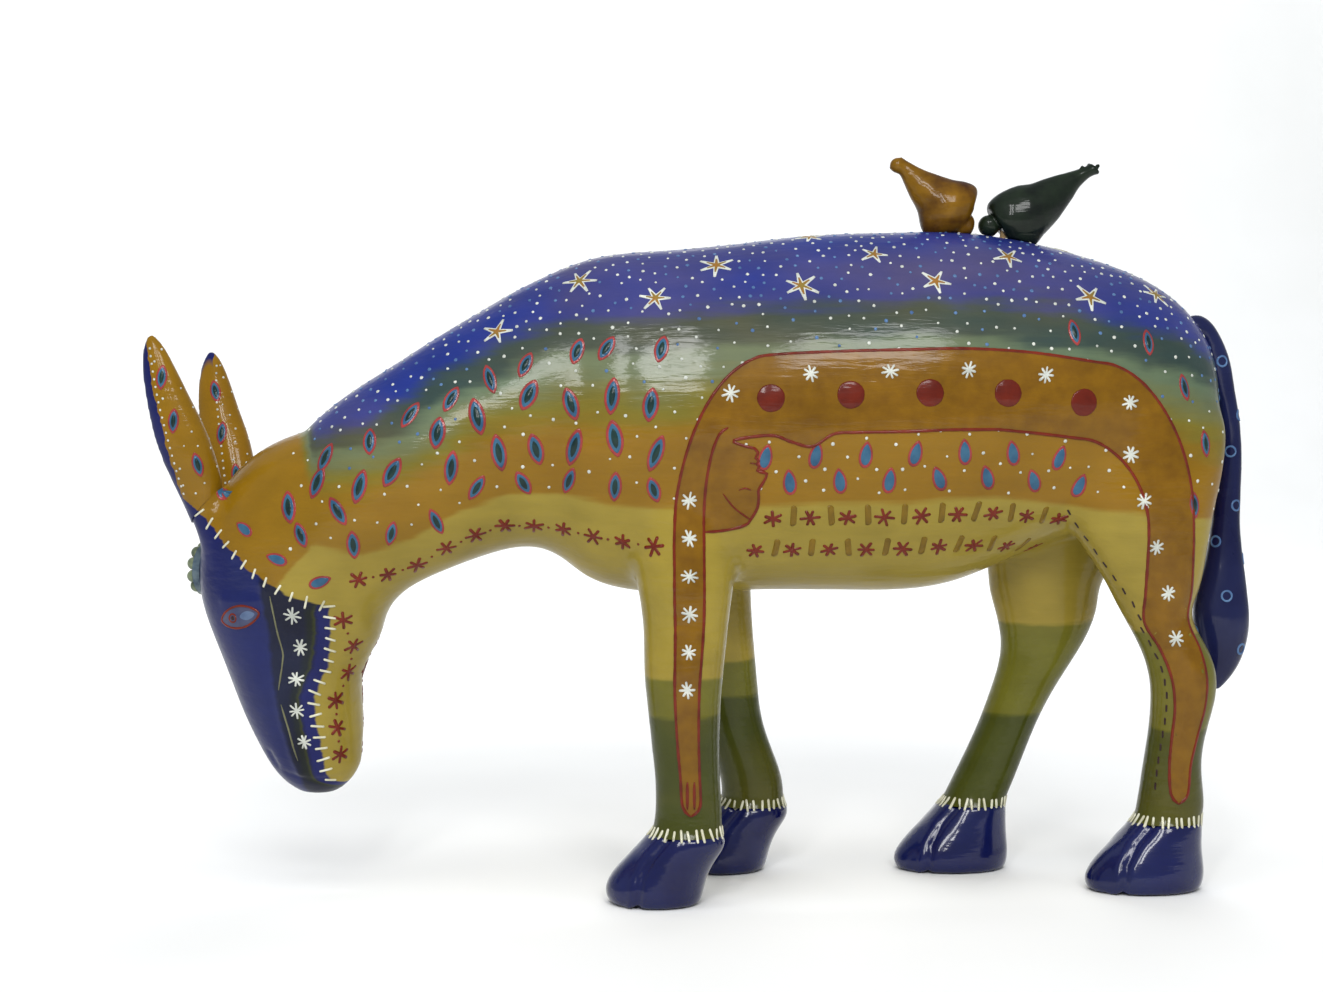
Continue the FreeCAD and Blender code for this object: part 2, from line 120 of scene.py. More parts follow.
class Paint:
    """A procedural varnished paint: its colour comes from nodes, and so do its brush marks."""

    def __init__(self, name):
        self.material = bpy.data.materials.new(name)
        self.material.use_nodes = True
        self.tree = self.material.node_tree
        self.shader = self.tree.nodes["Principled BSDF"]
        self.object = self.add("TexCoord").outputs["Object"]

    def add(self, kind, inputs=None, **settings):
        node = self.tree.nodes.new("ShaderNode" + kind)
        for key, value in settings.items():
            setattr(node, key, value)
        for key, value in (inputs or {}).items():
            self.put(node.inputs[key], value)
        return node

    def put(self, socket, value):
        if isinstance(value, bpy.types.NodeSocket):
            self.tree.links.new(value, socket)
        else:
            socket.default_value = value

    def math(self, operation, a, b=0.0):
        return self.add("Math", {0: a, 1: b}, operation=operation).outputs[0]

    def noise(self, scale, stretch=(1, 1, 1), detail=3.0, source=None):
        place = self.add("Mapping", {"Vector": source or self.object, "Scale": stretch}).outputs[0]
        return self.add("TexNoise", {"Vector": place, "Scale": scale, "Detail": detail}).outputs["Fac"]

    def spread(self, value, low, high, start, end, smooth=False):
        kind = "SMOOTHSTEP" if smooth else "LINEAR"
        node = self.add("MapRange", {0: value, 1: low, 2: high, 3: start, 4: end}, interpolation_type=kind)
        return node.outputs[0]

    def border(self, value, table, reach=270.0):
        """The border table as nodes: mm in, mm out."""
        first, last = table[0][0], table[-1][0]
        node = self.add("FloatCurve", {"Value": self.spread(value, first, last, 0.0, 1.0)})
        line = node.mapping.curves[0]
        for x, y in table[1:-1]:
            line.points.new((x - first) / (last - first), (y + reach / 2) / reach / 2)
        line.points[0].location = (0, (table[0][1] + reach / 2) / reach / 2)
        line.points[-1].location = (1, (table[-1][1] + reach / 2) / reach / 2)
        for point in line.points:
            point.handle_type = "VECTOR"
        node.mapping.update()
        return self.spread(node.outputs[0], 0.0, 1.0, -reach / 2, reach * 1.5)

    def ramp(self, value, stops):
        node = self.add("ValToRGB", {0: value})
        line = node.color_ramp
        for place, _ in stops[1:-1]:
            line.elements.new(place)
        for element, (place, colour) in zip(line.elements, stops):
            element.position, element.color = place, colour
        return node.outputs[0]

    def mix(self, factor, a, b, blend="MIX"):
        return self.add("Mix", {0: factor, 6: a, 7: b}, data_type="RGBA", blend_type=blend).outputs[2]

    def finish(self, colour, rough=0.36, coat=0.36, bump=0.75, stretch=(22, 90, 160), grime=0.16):
        """Brush marks in the colour and in the varnish, then the shader's own fixed values."""
        streak = self.noise(9.0, [s / 9 for s in stretch], 4.0)
        cloud = self.noise(38.0, detail=5.0)
        shade = self.spread(self.math("ADD", self.math("MULTIPLY", streak, 0.5), cloud), 0.45, 1.05,
                            1.0 - grime, 1.0 + grime)
        toned = self.add("VectorMath", {0: colour, 1: shade}, operation="MULTIPLY").outputs[0]
        self.put(self.shader.inputs["Base Color"], toned)
        self.put(self.shader.inputs["Roughness"], self.spread(cloud, 0.3, 0.7, rough - 0.08, rough + 0.1))
        fine = self.noise(60.0, [s / 22 for s in stretch], 3.0)
        height = self.math("ADD", self.math("MULTIPLY", streak, 0.55), self.math("MULTIPLY", fine, 0.45))
        marks = self.add("Bump", {"Strength": bump, "Distance": 0.0006, "Height": height}).outputs[0]
        self.put(self.shader.inputs["Normal"], marks)
        self.put(self.shader.inputs["Coat Normal"], marks)
        self.shader.inputs["Coat Weight"].default_value = coat
        self.shader.inputs["Coat Roughness"].default_value = 0.1
        self.shader.inputs["Coat IOR"].default_value = 1.5
        self.shader.inputs["Specular IOR Level"].default_value = 0.07
        return self.material


ROYAL = srgb(28, 44, 118)
DARK_GREEN = srgb(46, 62, 58)
GREY_GREEN = srgb(88, 104, 80)
OLIVE = srgb(108, 100, 34)
OCHRE = srgb(128, 92, 6)
PALE = srgb(144, 126, 48)
LEG_OLIVE = srgb(96, 94, 28)
LEG_DARK = srgb(60, 64, 18)
NAVY = srgb(10, 14, 66)
INK = srgb(12, 16, 36)


def carving_paint(name, leg_edges=None):
    """The bands of the body, the face mask over them, and on a leg its two lower blocks."""
    paint = Paint(name)
    place = paint.add("SeparateXYZ", {0: paint.object}).outputs
    length = paint.math("MULTIPLY", place[0], 1000.0)
    wave = paint.spread(paint.noise(22.0, (1, 1, 1.5), 3.0), 0.25, 0.75, -5.0, 5.0)
    hair = paint.spread(paint.noise(60.0, (0.35, 1, 4), 4.0), 0.25, 0.75, -3.0, 3.0)
    plain = paint.math("MULTIPLY", place[2], 1000.0)
    height = paint.math("ADD", plain, paint.math("ADD", wave, hair))
    slight = paint.math("ADD", plain, paint.math("MULTIPLY", hair, 0.4))
    depth = 0.0
    for table, soft in zip(BANDS, BAND_SOFTNESS):
        tall = slight if soft < 3 else height
        above = paint.math("SUBTRACT", tall, paint.border(length, table))
        depth = paint.math("ADD", depth, paint.spread(above, -soft, soft, 1.0, 0.0, True))
    for edge in leg_edges or ():
        above = paint.math("SUBTRACT", slight, float(edge))
        depth = paint.math("ADD", depth, paint.spread(above, -1.2, 1.2, 1.0, 0.0, True))
    tones = [ROYAL, DARK_GREEN, GREY_GREEN, OLIVE, OCHRE, PALE, LEG_OLIVE, LEG_DARK]
    bands = paint.ramp(paint.math("DIVIDE", depth, 7.0), [(i / 7, tone) for i, tone in enumerate(tones)])
    # A worn, sun-warmed patchiness inside each band.
    patch = paint.spread(paint.noise(14.0, (0.7, 1, 1.6), 4.0), 0.42, 0.75, 0.0, 0.3)
    bands = paint.mix(patch, bands, srgb(118, 98, 34))
    # The mask, in the head's frame.
    turned = paint.add("Mapping", {"Vector": paint.object, "Location": [-x for x in HEAD.translation]})
    turned = paint.add("VectorRotate", {"Vector": turned.outputs[0], "Angle": math.radians(22)},
                       rotation_type="Z_AXIS").outputs[0]
    own = paint.add("SeparateXYZ", {0: turned}).outputs
    along = paint.math("MULTIPLY", own[0], 1000.0)
    across = paint.math("ABSOLUTE", paint.math("MULTIPLY", own[1], 1000.0))
    ear_middle = paint.math("ADD", paint.math("MULTIPLY", plain, 0.14), -6.5)
    outer = paint.math("ADD", paint.spread(paint.math("SUBTRACT", across, ear_middle), -0.6, 0.6, 0.0, 1.0),
                       paint.spread(plain, 152.0, 158.0, 1.0, 0.0))
    along = paint.math("ADD", along, paint.math("MULTIPLY", hair, 0.25))
    below = paint.math("SUBTRACT", paint.border(along, MASK_TOP), slight)
    before = paint.math("SUBTRACT", paint.border(plain, MASK_BACK), along)
    inside = paint.math("MULTIPLY", paint.spread(below, -0.5, 0.5, 0.0, 1.0, True),
                        paint.spread(before, -0.5, 0.5, 0.0, 1.0, True))
    inside = paint.math("MULTIPLY", inside, paint.math("MINIMUM", outer, 1.0))
    behind = paint.math("SUBTRACT", along, paint.border(plain, RIDGE))
    face = paint.ramp(paint.spread(behind, -20.0, 30.0, 0.0, 1.0), [
        (0.0, srgb(14, 20, 78)), (0.36, srgb(18, 26, 80)), (0.4, INK), (1.0, srgb(10, 14, 38))])
    # The mask's rear border on the jaw: a darker blue, then a thin yellowish line that is a painted highlight
    # along the jaw's edge, then dark green.
    jaw_edge_with_highlight = paint.ramp(paint.spread(before, 4.0, 9.0, 0.0, 1.0), [
        (0.0, srgb(16, 22, 80)), (0.2, srgb(14, 18, 60)), (0.36, srgb(44, 48, 12)), (0.6, srgb(18, 24, 22))])
    low_face = paint.spread(plain, MASK_HEIGHT - 2.5, MASK_HEIGHT + 3.5, 1.0, 0.0)
    face = paint.mix(paint.math("MULTIPLY", low_face, paint.spread(before, 8.0, 10.0, 1.0, 0.0)), face, jaw_edge_with_highlight)
    worn = paint.spread(paint.noise(30.0, (1, 1, 0.4), 4.0), 0.52, 0.8, 0.0, 0.3)
    face = paint.mix(worn, face, srgb(46, 56, 96))
    return paint.finish(paint.mix(inside, bands, face))


def plain_paint(name, base, other, scale=40.0, **finish):
    """One paint laid unevenly over another tone of itself."""
    paint = Paint(name)
    amount = paint.spread(paint.noise(scale, detail=5.0), 0.35, 0.7, 0.0, 1.0)
    return paint.finish(paint.mix(amount, base, other), **finish)


# ---------------------------------------------------------------- meshes


def shown(name, mesh, material, body):
    """Puts a mesh in the scene as a piece that rides on a body."""
    mesh.name = name
    mesh.materials.clear()
    mesh.materials.append(material)
    obj = bpy.data.objects.new(name, mesh)
    bpy.context.scene.collection.objects.link(obj)
    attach(obj, body)
    return obj


def remeshed(names, voxel, lumps=()):
    """Copies of these CAD nodes, and round lumps added to them, run together into one skin.

    A lump is (centre, end, radius at the centre, radius at the end), in mm. Closed bores inside are dropped.
    """
    bm = bmesh.new()
    for name in names:
        bm.from_mesh(NODES[name].data)
    for centre, end, radius, far_radius in lumps:
        for k in range(9):
            place = Vector(centre).lerp(Vector(end), k / 8) * MM
            size = (radius + (far_radius - radius) * k / 8) * MM
            bmesh.ops.create_icosphere(bm, subdivisions=3, radius=size, matrix=Matrix.Translation(place))
    mesh = bpy.data.meshes.new("joined")
    bm.to_mesh(mesh)
    bm.free()
    obj = bpy.data.objects.new("joined", mesh)
    bpy.context.scene.collection.objects.link(obj)
    remesh = obj.modifiers.new("remesh", "REMESH")
    remesh.mode = "VOXEL"
    remesh.voxel_size = voxel * MM
    graph = bpy.context.evaluated_depsgraph_get()
    skin = bpy.data.meshes.new_from_object(obj.evaluated_get(graph))
    bpy.data.objects.remove(obj)
    bpy.data.meshes.remove(mesh)
    bm = bmesh.new()
    bm.from_mesh(skin)
    left, islands = set(bm.verts), []
    while left:
        start = left.pop()
        island, stack = [start], [start]
        while stack:
            for edge in stack.pop().link_edges:
                for vert in edge.verts:
                    if vert in left:
                        left.remove(vert)
                        island.append(vert)
                        stack.append(vert)
        islands.append(island)
    islands.sort(key=len)
    bmesh.ops.delete(bm, geom=[v for island in islands[:-1] for v in island], context="VERTS")
    bm.to_mesh(skin)
    bm.free()
    return skin


def points_of(mesh):
    co = np.empty(len(mesh.vertices) * 3)
    mesh.vertices.foreach_get("co", co)
    return co.reshape(-1, 3)


def normals_of(mesh):
    normals = np.empty(len(mesh.vertices) * 3)
    mesh.vertex_normals.foreach_get("vector", normals)
    return normals.reshape(-1, 3)


def put_points(mesh, co):
    mesh.vertices.foreach_set("co", co.ravel())
    mesh.update()


def relax(mesh, rounds, weight=1.0):
    """Evens the surface out, by the weight of each point."""
    co, count = points_of(mesh), len(mesh.vertices)
    edges = np.empty(len(mesh.edges) * 2, int)
    mesh.edges.foreach_get("vertices", edges)
    a, b = edges.reshape(-1, 2).T
    links = np.bincount(np.concatenate([a, b]), minlength=count)[:, None]
    share = 0.5 * np.broadcast_to(np.asarray(weight, float), (count,))[:, None]
    for _ in range(rounds):
        total = np.stack([np.bincount(a, co[b, k], count) + np.bincount(b, co[a, k], count) for k in range(3)], 1)
        co = co + share * (total / links - co)
    put_points(mesh, co)


def ripple(mesh, depth, size):
    """The slight unevenness that a knife and sandpaper leave."""
    co, normals = points_of(mesh), normals_of(mesh)
    lift = np.array([noise.noise(Vector(p) / (size * MM)) for p in co])
    put_points(mesh, co + normals * lift[:, None] * depth * MM)


def flat_face(name):
    """A point on the largest flat face of a CAD node, and that face's normal."""
    mesh = NODES[name].data
    area = np.array([p.area for p in mesh.polygons])
    normal = np.array([p.normal for p in mesh.polygons])
    centre = np.array([p.center for p in mesh.polygons])
    key = np.round(np.column_stack([normal, (normal * centre).sum(1) * 1000]), 1)
    _, group = np.unique(key, axis=0, return_inverse=True)
    group = group.ravel()
    best = np.argmax(np.bincount(group, area))
    chosen = group == best
    return (Vector(np.average(centre[chosen], axis=0, weights=area[chosen])),
            Vector(np.average(normal[chosen], axis=0, weights=area[chosen])).normalized())


def split(skin, cuts):
    """Cuts the skin along planes, each only near its own place, and gives a closed mesh for each part.

    cuts is a list of (part, point, normal, near): what lies beyond the plane, where near(point) is true,
    is that part. The rest is "rest". It also gives a tree of the whole skin, by which dress can give the parts the
    whole skin's shading across the cuts.
    """
    smooth = BVHTree.FromPolygons([v.co for v in skin.vertices], [p.vertices for p in skin.polygons])
    bm = bmesh.new()
    bm.from_mesh(skin)
    for _, point, normal, near in cuts:
        faces = [f for f in bm.faces if near(f.calc_center_median())
                 and abs((f.calc_center_median() - point).dot(normal)) < 6 * MM]
        near_plane = {e for f in faces for e in f.edges} | {v for f in faces for v in f.verts} | set(faces)
        bmesh.ops.bisect_plane(bm, geom=list(near_plane), plane_co=point, plane_no=normal, dist=1e-7)
    part_of = []
    for face in bm.faces:
        centre = face.calc_center_median()
        found = [part for part, point, normal, near in cuts if near(centre) and (centre - point).dot(normal) > 0]
        part_of.append(found[0] if found else "rest")
    vertices = [v.co.copy() for v in bm.verts]
    bm.verts.index_update()
    faces = [[v.index for v in f.verts] for f in bm.faces]
    bm.free()
    parts = {}
    for part in dict.fromkeys(part_of):
        own = [face for face, name in zip(faces, part_of) if name == part]
        used = sorted({v for face in own for v in face})
        place = {v: i for i, v in enumerate(used)}
        mesh = bpy.data.meshes.new(part)
        mesh.from_pydata([vertices[v] for v in used], [], [[place[v] for v in face] for face in own])
        bm = bmesh.new()
        bm.from_mesh(mesh)
        outer = len(bm.faces)
        caps = bmesh.ops.holes_fill(bm, edges=[e for e in bm.edges if e.is_boundary], sides=0)["faces"]
        bmesh.ops.triangulate(bm, faces=caps)
        bm.to_mesh(mesh)
        bm.free()
        parts[part] = (mesh, outer)
    return parts, smooth


def dress(mesh, skin, tree):
    """Smooth shading that is the whole skin's, so no seam shows where two parts meet; the cut faces stay flat."""
    corner = []
    far = 0.2 * MM
    shade = normals_of(skin)
    verts = [v.co for v in skin.vertices]
    found = {}
    for vertex in mesh.vertices:
        place, _, face, gap = tree.find_nearest(vertex.co)
        near = skin.polygons[face].vertices
        pull = [1 / ((verts[i] - vertex.co).length + 1e-7) for i in near]
        mean = Vector(sum(shade[i] * p for i, p in zip(near, pull))).normalized()
        found[vertex.index] = mean if gap < far else None
    mesh.shade_smooth()
    for polygon in mesh.polygons:
        for index in polygon.vertices:
            normal = found[index]
            flat = normal is None or normal.dot(polygon.normal) < 0.35
            corner.append(polygon.normal if flat else normal)
    mesh.normals_split_custom_set([tuple(n) for n in corner])


# ---------------------------------------------------------------- layout


def slices(co, stations, reach, along, across):
    """The least and the greatest of one coordinate of the points near each station along another one."""
    near = [co[np.abs(co[:, along] - station) < reach][:, across] for station in stations]
    return np.array([(values.min(), values.max()) for values in near])


def own_points(name):
    """A CAD node's points in the head's frame, in mm."""
    turn = np.array(TO_HEAD)
    return (points_of(NODES[name].data) @ turn[:3, :3].T + turn[:3, 3]) / MM


TRUNK_LOW, TRUNK_HIGH = [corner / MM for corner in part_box("torso")]
NECK_LOW, NECK_HIGH = [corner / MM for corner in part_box("neck")]
HEAD_LOW, HEAD_HIGH = [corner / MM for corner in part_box("head")]
HOOF_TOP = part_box("front_left_hoof")[1].z / MM
OUT_OF_REACH = 270

# On the body a height is a share of the way from the belly (0) to the back (1) at that length.
STATIONS = np.linspace(NECK_LOW.x + 6, TRUNK_HIGH.x - 6, 20)
BODY = np.concatenate([points_of(NODES[name].data) for name in ("neck", "torso")]) / MM
BELLY, BACK = [np.convolve(np.pad(line, 1, "edge"), (0.25, 0.5, 0.25), "valid")
               for line in slices(BODY, STATIONS, 9, 0, 2).T]


def level(x, share):
    low, high = np.interp(x, STATIONS, BELLY), np.interp(x, STATIONS, BACK)
    return float(low + share * (high - low))


def border_at(share, on_ears):
    """The lower border of a band: height against length, held at on_ears where the ears are."""
    ear_back = max(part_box(ear)[1].x for ear in EARS) / MM
    return ([(-240, on_ears), (ear_back - 5, on_ears)] + [(x, level(x, share)) for x in STATIONS]
            + [(240, level(240, share))])


# Blue ends a fifth of the way down, then dark green, grey-green, olive and ochre follow.
MIDDLE_OF_HEAD = (HEAD_LOW.z + HEAD_HIGH.z) / 2
BANDS = [border_at(share, OUT_OF_REACH) for share in (0.8, 0.7, 0.6, 0.5)] + [border_at(0.26, MIDDLE_OF_HEAD)]
BLUE_EDGE, GREEN_EDGE, GREY_EDGE, OLIVE_EDGE, OCHRE_EDGE = BANDS
BAND_SOFTNESS = [5, 4, 9, 8, 1.6]

# On the head a place is a height and a share of the way from the forehead (0) to the throat (1).
LEVELS = np.arange(HEAD_LOW.z + 5, MIDDLE_OF_HEAD + 20, 8)
FRONT, REAR = slices(own_points("head"), LEVELS, 7, 2, 0).T


def on_head(w, share):
    return float(np.interp(w, LEVELS, FRONT + share * (REAR - FRONT)))


# The blue mask on the face runs up into a strip down the front of each ear.
MASK_HEIGHT = MIDDLE_OF_HEAD + 5
EAR_FOOT = HEAD_HIGH.z - 26
MASK_CORNER = on_head(MASK_HEIGHT, 0.88)
MASK_BACK = ([(20, 20), (HEAD_LOW.z - 3, 6)]
             + [(w, on_head(w, 0.8 + 0.08 * (w / MASK_HEIGHT) ** 6))
                for w in np.linspace(HEAD_LOW.z + 7, MASK_HEIGHT, 7)]
             + [(MASK_HEIGHT + 20, 30), (OUT_OF_REACH, 60)])
STRIP = [(float(np.mean([slices(own_points(ear), [w], 8, 2, 0)[0] @ (0.6, 0.4) for ear in EARS])), w)
         for w in EAR_FOOT + np.array((60, 40, 20, 0))]


def mask_slope(t):
    """The mask's upper border, from its rear corner (0) to the foot of the ear's strip (1)."""
    return MASK_CORNER + (STRIP[-1][0] - MASK_CORNER) * t, MASK_HEIGHT + (EAR_FOOT - MASK_HEIGHT) * t ** 1.6


MASK_TOP = [(-100, 262)] + STRIP[:-1] + [mask_slope(t) for t in (1, 0.75, 0.5, 0.25, 0)] + [(40, 100)]
RIDGE = [(w, on_head(w, 0.55)) for w in (20, 50, 70, 90, 110, 130, OUT_OF_REACH)]
EYE = (on_head(MIDDLE_OF_HEAD, 0.38), MIDDLE_OF_HEAD)


# ---------------------------------------------------------------- the carved body

VOXEL, FINE_VOXEL = 1.5, 0.85
LEG_ROOT, LEG_ROOT_REACH = 138, 22  # where the legs grow out of the trunk, and how far that is smoothed
RUMP_REACH = 26
LEG_DIVIDE = 65  # front legs before it, hind legs behind it
UNEVEN, UNEVEN_SIZE = 0.35, 24  # what the knife leaves: depth and width
whole = remeshed(CARVED + [leg + end for leg in LEGS for end in ("_leg", "_hoof")] + EARS, VOXEL)
relax(whole, 6)
over_root = (points_of(whole)[:, 2] / MM - LEG_ROOT) / LEG_ROOT_REACH
relax(whole, 50, np.exp(-(over_root ** 2)))
rump = points_of(whole) / MM - (200, MIDDLE_PLANE, 203)
beside_groove = np.abs(rump[:, 1]) > 11
relax(whole, 120, np.exp(-((rump[:, 0] ** 2 + rump[:, 2] ** 2) / RUMP_REACH ** 2)) * beside_groove)
ripple(whole, UNEVEN, UNEVEN_SIZE)


def groove_depth(co, path, reach, depth):
    """How far each point (two coordinates, mm) sinks, by its distance from a drawn line."""
    nearest = np.full(len(co), 1e9)
    for (ax, ay), (bx, by) in zip(path, path[1:]):
        line = np.array([bx - ax, by - ay], float)
        t = np.clip(((co - [ax, ay]) @ line) / (line @ line), 0, 1)
        nearest = np.minimum(nearest, np.hypot(*(co - np.array([ax, ay]) - t[:, None] * line).T))
    return depth * np.exp(-((nearest / reach) ** 2))


def carve_face(mesh):
    """The crest down each cheek, the brow over the eye, nostrils and mouth."""
    co, normals = points_of(mesh), normals_of(mesh)
    inverse = np.array(TO_HEAD)
    own = (co @ inverse[:3, :3].T + inverse[:3, 3]) / MM
    across = np.abs(normals @ np.array(TO_HEAD)[:3, :3].T[:, 1])
    zone = (own[:, 0] < 12) & (own[:, 2] < 140) & (own[:, 2] > 20)
    side = np.where(zone, np.clip((across - 0.25) * 3, 0, 1), 0)
    flat = own[:, [0, 2]]
    lift = groove_depth(flat, [(w, h) for h, w in RIDGE[1:6]], 2.0, 0.9)
    lift = lift - groove_depth(flat, [(w + 3.2, h) for h, w in RIDGE[1:6]], 1.8, 0.6)
    brow, lid = EYE[1] + 6.5, EYE[1] - 1
    lift = lift + groove_depth(flat, [(EYE[0] + 8, brow), (EYE[0] - 8, brow)], 2.2, 0.8)
    lift = lift + groove_depth(flat, [(EYE[0] + 4, lid), (EYE[0] - 4, lid)], 4.5, 0.7)
    mouth, nostril = HEAD_LOW.z + 8, HEAD_LOW.z + 15
    lift = lift - groove_depth(flat, [(on_head(mouth, share), mouth + rise) for share, rise in
                                      ((0.9, 0), (0.65, -1), (0.35, 2))], 1.0, 0.5)
    lift = lift - groove_depth(flat, [(on_head(nostril, share), nostril + rise) for share, rise in
                                      ((0.25, 3), (0.3, -2))], 1.8, 0.8)
    put_points(mesh, co + normals * (lift * side * MM)[:, None])


carve_face(whole)

head_point, head_normal = flat_face("head")
neck_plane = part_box("torso")[0].x
ear_planes = {ear: flat_face(ear) for ear in EARS}


def cut_list():
    """Where the skin is cut: through the ears' parting faces, at the head, the neck and the tops of the legs."""
    cuts = []
    for ear in EARS:
        point, normal = ear_planes[ear]
        low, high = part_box(ear)
        pad = Vector((4, 4, 4)) * MM
        near = lambda p, lo=low - pad, hi=high + pad: all(lo[i] < p[i] < hi[i] for i in range(3))
        cuts.append((ear, point, -normal, near))
    cuts.append(("head", head_point, -head_normal, lambda p: p.x < -110 * MM))
    cuts.append(("neck", Vector((neck_plane, 0, 0)), Vector((-1, 0, 0)), lambda p: True))
    for leg in LEGS:
        low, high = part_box(leg + "_leg")
        top = high.z - 5 * MM
        side = -1 if "left" in leg else 1
        front = "front" in leg

        def near(p, side=side, front=front):
            return p.y * side > MIDDLE_PLANE * side * MM and (p.x < LEG_DIVIDE * MM) == front

        ankle = Vector((0, 0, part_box(leg + "_hoof")[1].z))
        cuts.append((leg + "_hoof", ankle, Vector((0, 0, -1)), near))
        cuts.append((leg + "_leg", Vector((0, 0, top)), Vector((0, 0, -1)), near))
    return cuts


def tang_of(ear):
    """The tang under an ear's parting face, copied from the CAD node and closed."""
    point, normal = ear_planes[ear]
    bm = bmesh.new()
    bm.from_mesh(NODES[ear].data)
    bmesh.ops.remove_doubles(bm, verts=bm.verts, dist=1e-6)
    bmesh.ops.bisect_plane(bm, geom=bm.verts[:] + bm.edges[:] + bm.faces[:], plane_co=point + normal * 2e-5,
                           plane_no=normal, clear_inner=True)
    bmesh.ops.holes_fill(bm, edges=[e for e in bm.edges if e.is_boundary], sides=0)
    mesh = bpy.data.meshes.new(ear + "_tang")
    bm.to_mesh(mesh)
    bm.free()
    return mesh


def socketed(mesh, tang, normal):
    """The head with the socket that this tang slides into."""
    cutter = tang.copy()
    co = points_of(cutter)
    middle = co.mean(0)
    put_points(cutter, middle + (co - middle) * 1.14 - np.array(normal) * 0.6 * MM)
    pair = [bpy.data.objects.new("made", m) for m in (mesh, cutter)]
    for obj in pair:
        bpy.context.scene.collection.objects.link(obj)
    cut = pair[0].modifiers.new("socket", "BOOLEAN")
    cut.operation, cut.object, cut.solver = "DIFFERENCE", pair[1], "EXACT"
    made = bpy.data.meshes.new_from_object(pair[0].evaluated_get(bpy.context.evaluated_depsgraph_get()))
    for obj in pair:
        bpy.data.objects.remove(obj)
    return made


parts, skin_tree = split(whole, cut_list())
tangs = {ear: tang_of(ear) for ear in EARS}
for ear in EARS:
    parts["head"] = (socketed(parts["head"][0], tangs[ear], ear_planes[ear][1]), 0)
fine_head = remeshed(["head"] + EARS, FINE_VOXEL)
relax(fine_head, 9)
ripple(fine_head, UNEVEN, UNEVEN_SIZE)
fine_parts, fine_tree = split(fine_head, cut_list()[:2])
for ear in EARS:
    parts[ear] = fine_parts[ear]
body_paint = carving_paint("carving_paint")
# Where a leg's two lower blocks of colour begin, as shares of its height.
LEG_SHARES = {"front": (0.66, 0.5), "rear": (0.85, 0.42)}


def leg_edges(leg):
    low, high = [corner.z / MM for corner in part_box(leg + "_leg")]
    return [low + share * (high - low) for share in LEG_SHARES[leg.split("_")[0]]]


PIECES = {"rest": "torso", "neck": "neck", "head": "head"}
carved = {}
for part, (mesh, _) in parts.items():
    if part.endswith("_hoof"):
        continue
    dress(mesh, *((fine_head, fine_tree) if part in EARS else (whole, skin_tree)))
    node = PIECES.get(part, part)
    if part.endswith("_leg"):
        material = carving_paint(part + "_paint", leg_edges(part[:-4]))
        carved[node] = shown(part + "_skin", mesh, material, "carving")
    elif part in EARS:
        carved[node] = shown(part + "_skin", mesh, body_paint, part)
    else:
        carved[node] = shown(node + "_skin", mesh, body_paint, "carving")
    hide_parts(node)


# ---------------------------------------------------------------- hooves, tail, birds, wreath


def fine_copy(name, voxel, rounds, lumps=()):
    mesh = remeshed([name], voxel, lumps)
    relax(mesh, rounds)
    return mesh


def shown_copy(name, mesh, material, body):
    mesh.shade_smooth()
    obj = shown(name + "_carved", mesh, material, body)
    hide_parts(name)
    return obj


def share(mesh):
    """Each point's place in the mesh's own box, 0 to 1 along every axis."""
    co = points_of(mesh)
    return (co - co.min(0)) / (co.max(0) - co.min(0))


hoof_paint = plain_paint("hoof_paint", NAVY, srgb(20, 28, 72), rough=0.22, coat=0.7, bump=0.4, grime=0.25)
for leg in LEGS:
    hoof = fine_copy(leg + "_hoof", 0.8, 5)
    spot = share(hoof)[:, [0, 2]] * (100, 60)
    dent = groove_depth(spot, [(52, 62), (37, 44), (27, 26), (24, 0)], 2.6, 1.0)
    bulge = groove_depth(spot, [(46, 62), (30, 44), (20, 24), (17, 0)], 3.0, 0.5)
    put_points(hoof, points_of(hoof) + normals_of(hoof) * ((bulge - dent) * MM)[:, None])
    ripple(hoof, 0.25, 11)
    carved[leg + "_hoof"] = shown_copy(leg + "_hoof", hoof, hoof_paint, "carving")

tail = fine_copy("tail", 0.9, 6)
ripple(tail, 0.35, 14)
tail_paint = plain_paint("tail_paint", srgb(10, 14, 54), srgb(22, 28, 66), rough=0.26, coat=0.5,
                         stretch=(60, 60, 14))
carved["tail"] = shown_copy("tail", tail, tail_paint, "tail")

# The yellow bird's darker tone is its shaded tone, laid over the mustard in random patches as painted shade.
yellow_paint_with_shade = plain_paint("yellow_bird_paint", srgb(120, 84, 8), srgb(60, 32, 6), 90.0, rough=0.42, coat=0.3)
green_paint = plain_paint("green_bird_paint", srgb(26, 36, 24), srgb(12, 18, 14), 110.0, rough=0.4, coat=0.35)
for bird, material, turn in (("yellow_bird", yellow_paint_with_shade, 1), ("green_bird", green_paint, -1)):
    low, high = [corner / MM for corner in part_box(bird)]
    tip = Vector((low.x + 3.6 if turn > 0 else high.x - 3.0, (low.y + high.y) / 2, high.z - 3.6))
    if turn > 0:
        lumps = [(tip, tip + Vector((2.2, 0, -1.2)), 3.3, 3.0)]
    else:
        lumps = [(tip, tip + Vector((2.2, 0, 2.6)), 1.0, 0.9),
                 (tip + Vector((-1, 1, 0)), tip + Vector((-1.5, 1, 3.0)), 1.0, 0.9),
                 (tip + Vector((-3, -1, 0)), tip + Vector((-5.0, -1, 1.8)), 1.1, 0.9)]
    mesh = fine_copy(bird, 0.45, 4, lumps)
    sunk = points_of(mesh)
    sunk[:, 2] -= np.clip(1.0 - (sunk[:, 2] - sunk[:, 2].min()) / (3 * MM), 0, 1) * 1.3 * MM
    put_points(mesh, sunk)
    ripple(mesh, 0.2, 5)
    carved[bird] = shown_copy(bird, mesh, material, bird)

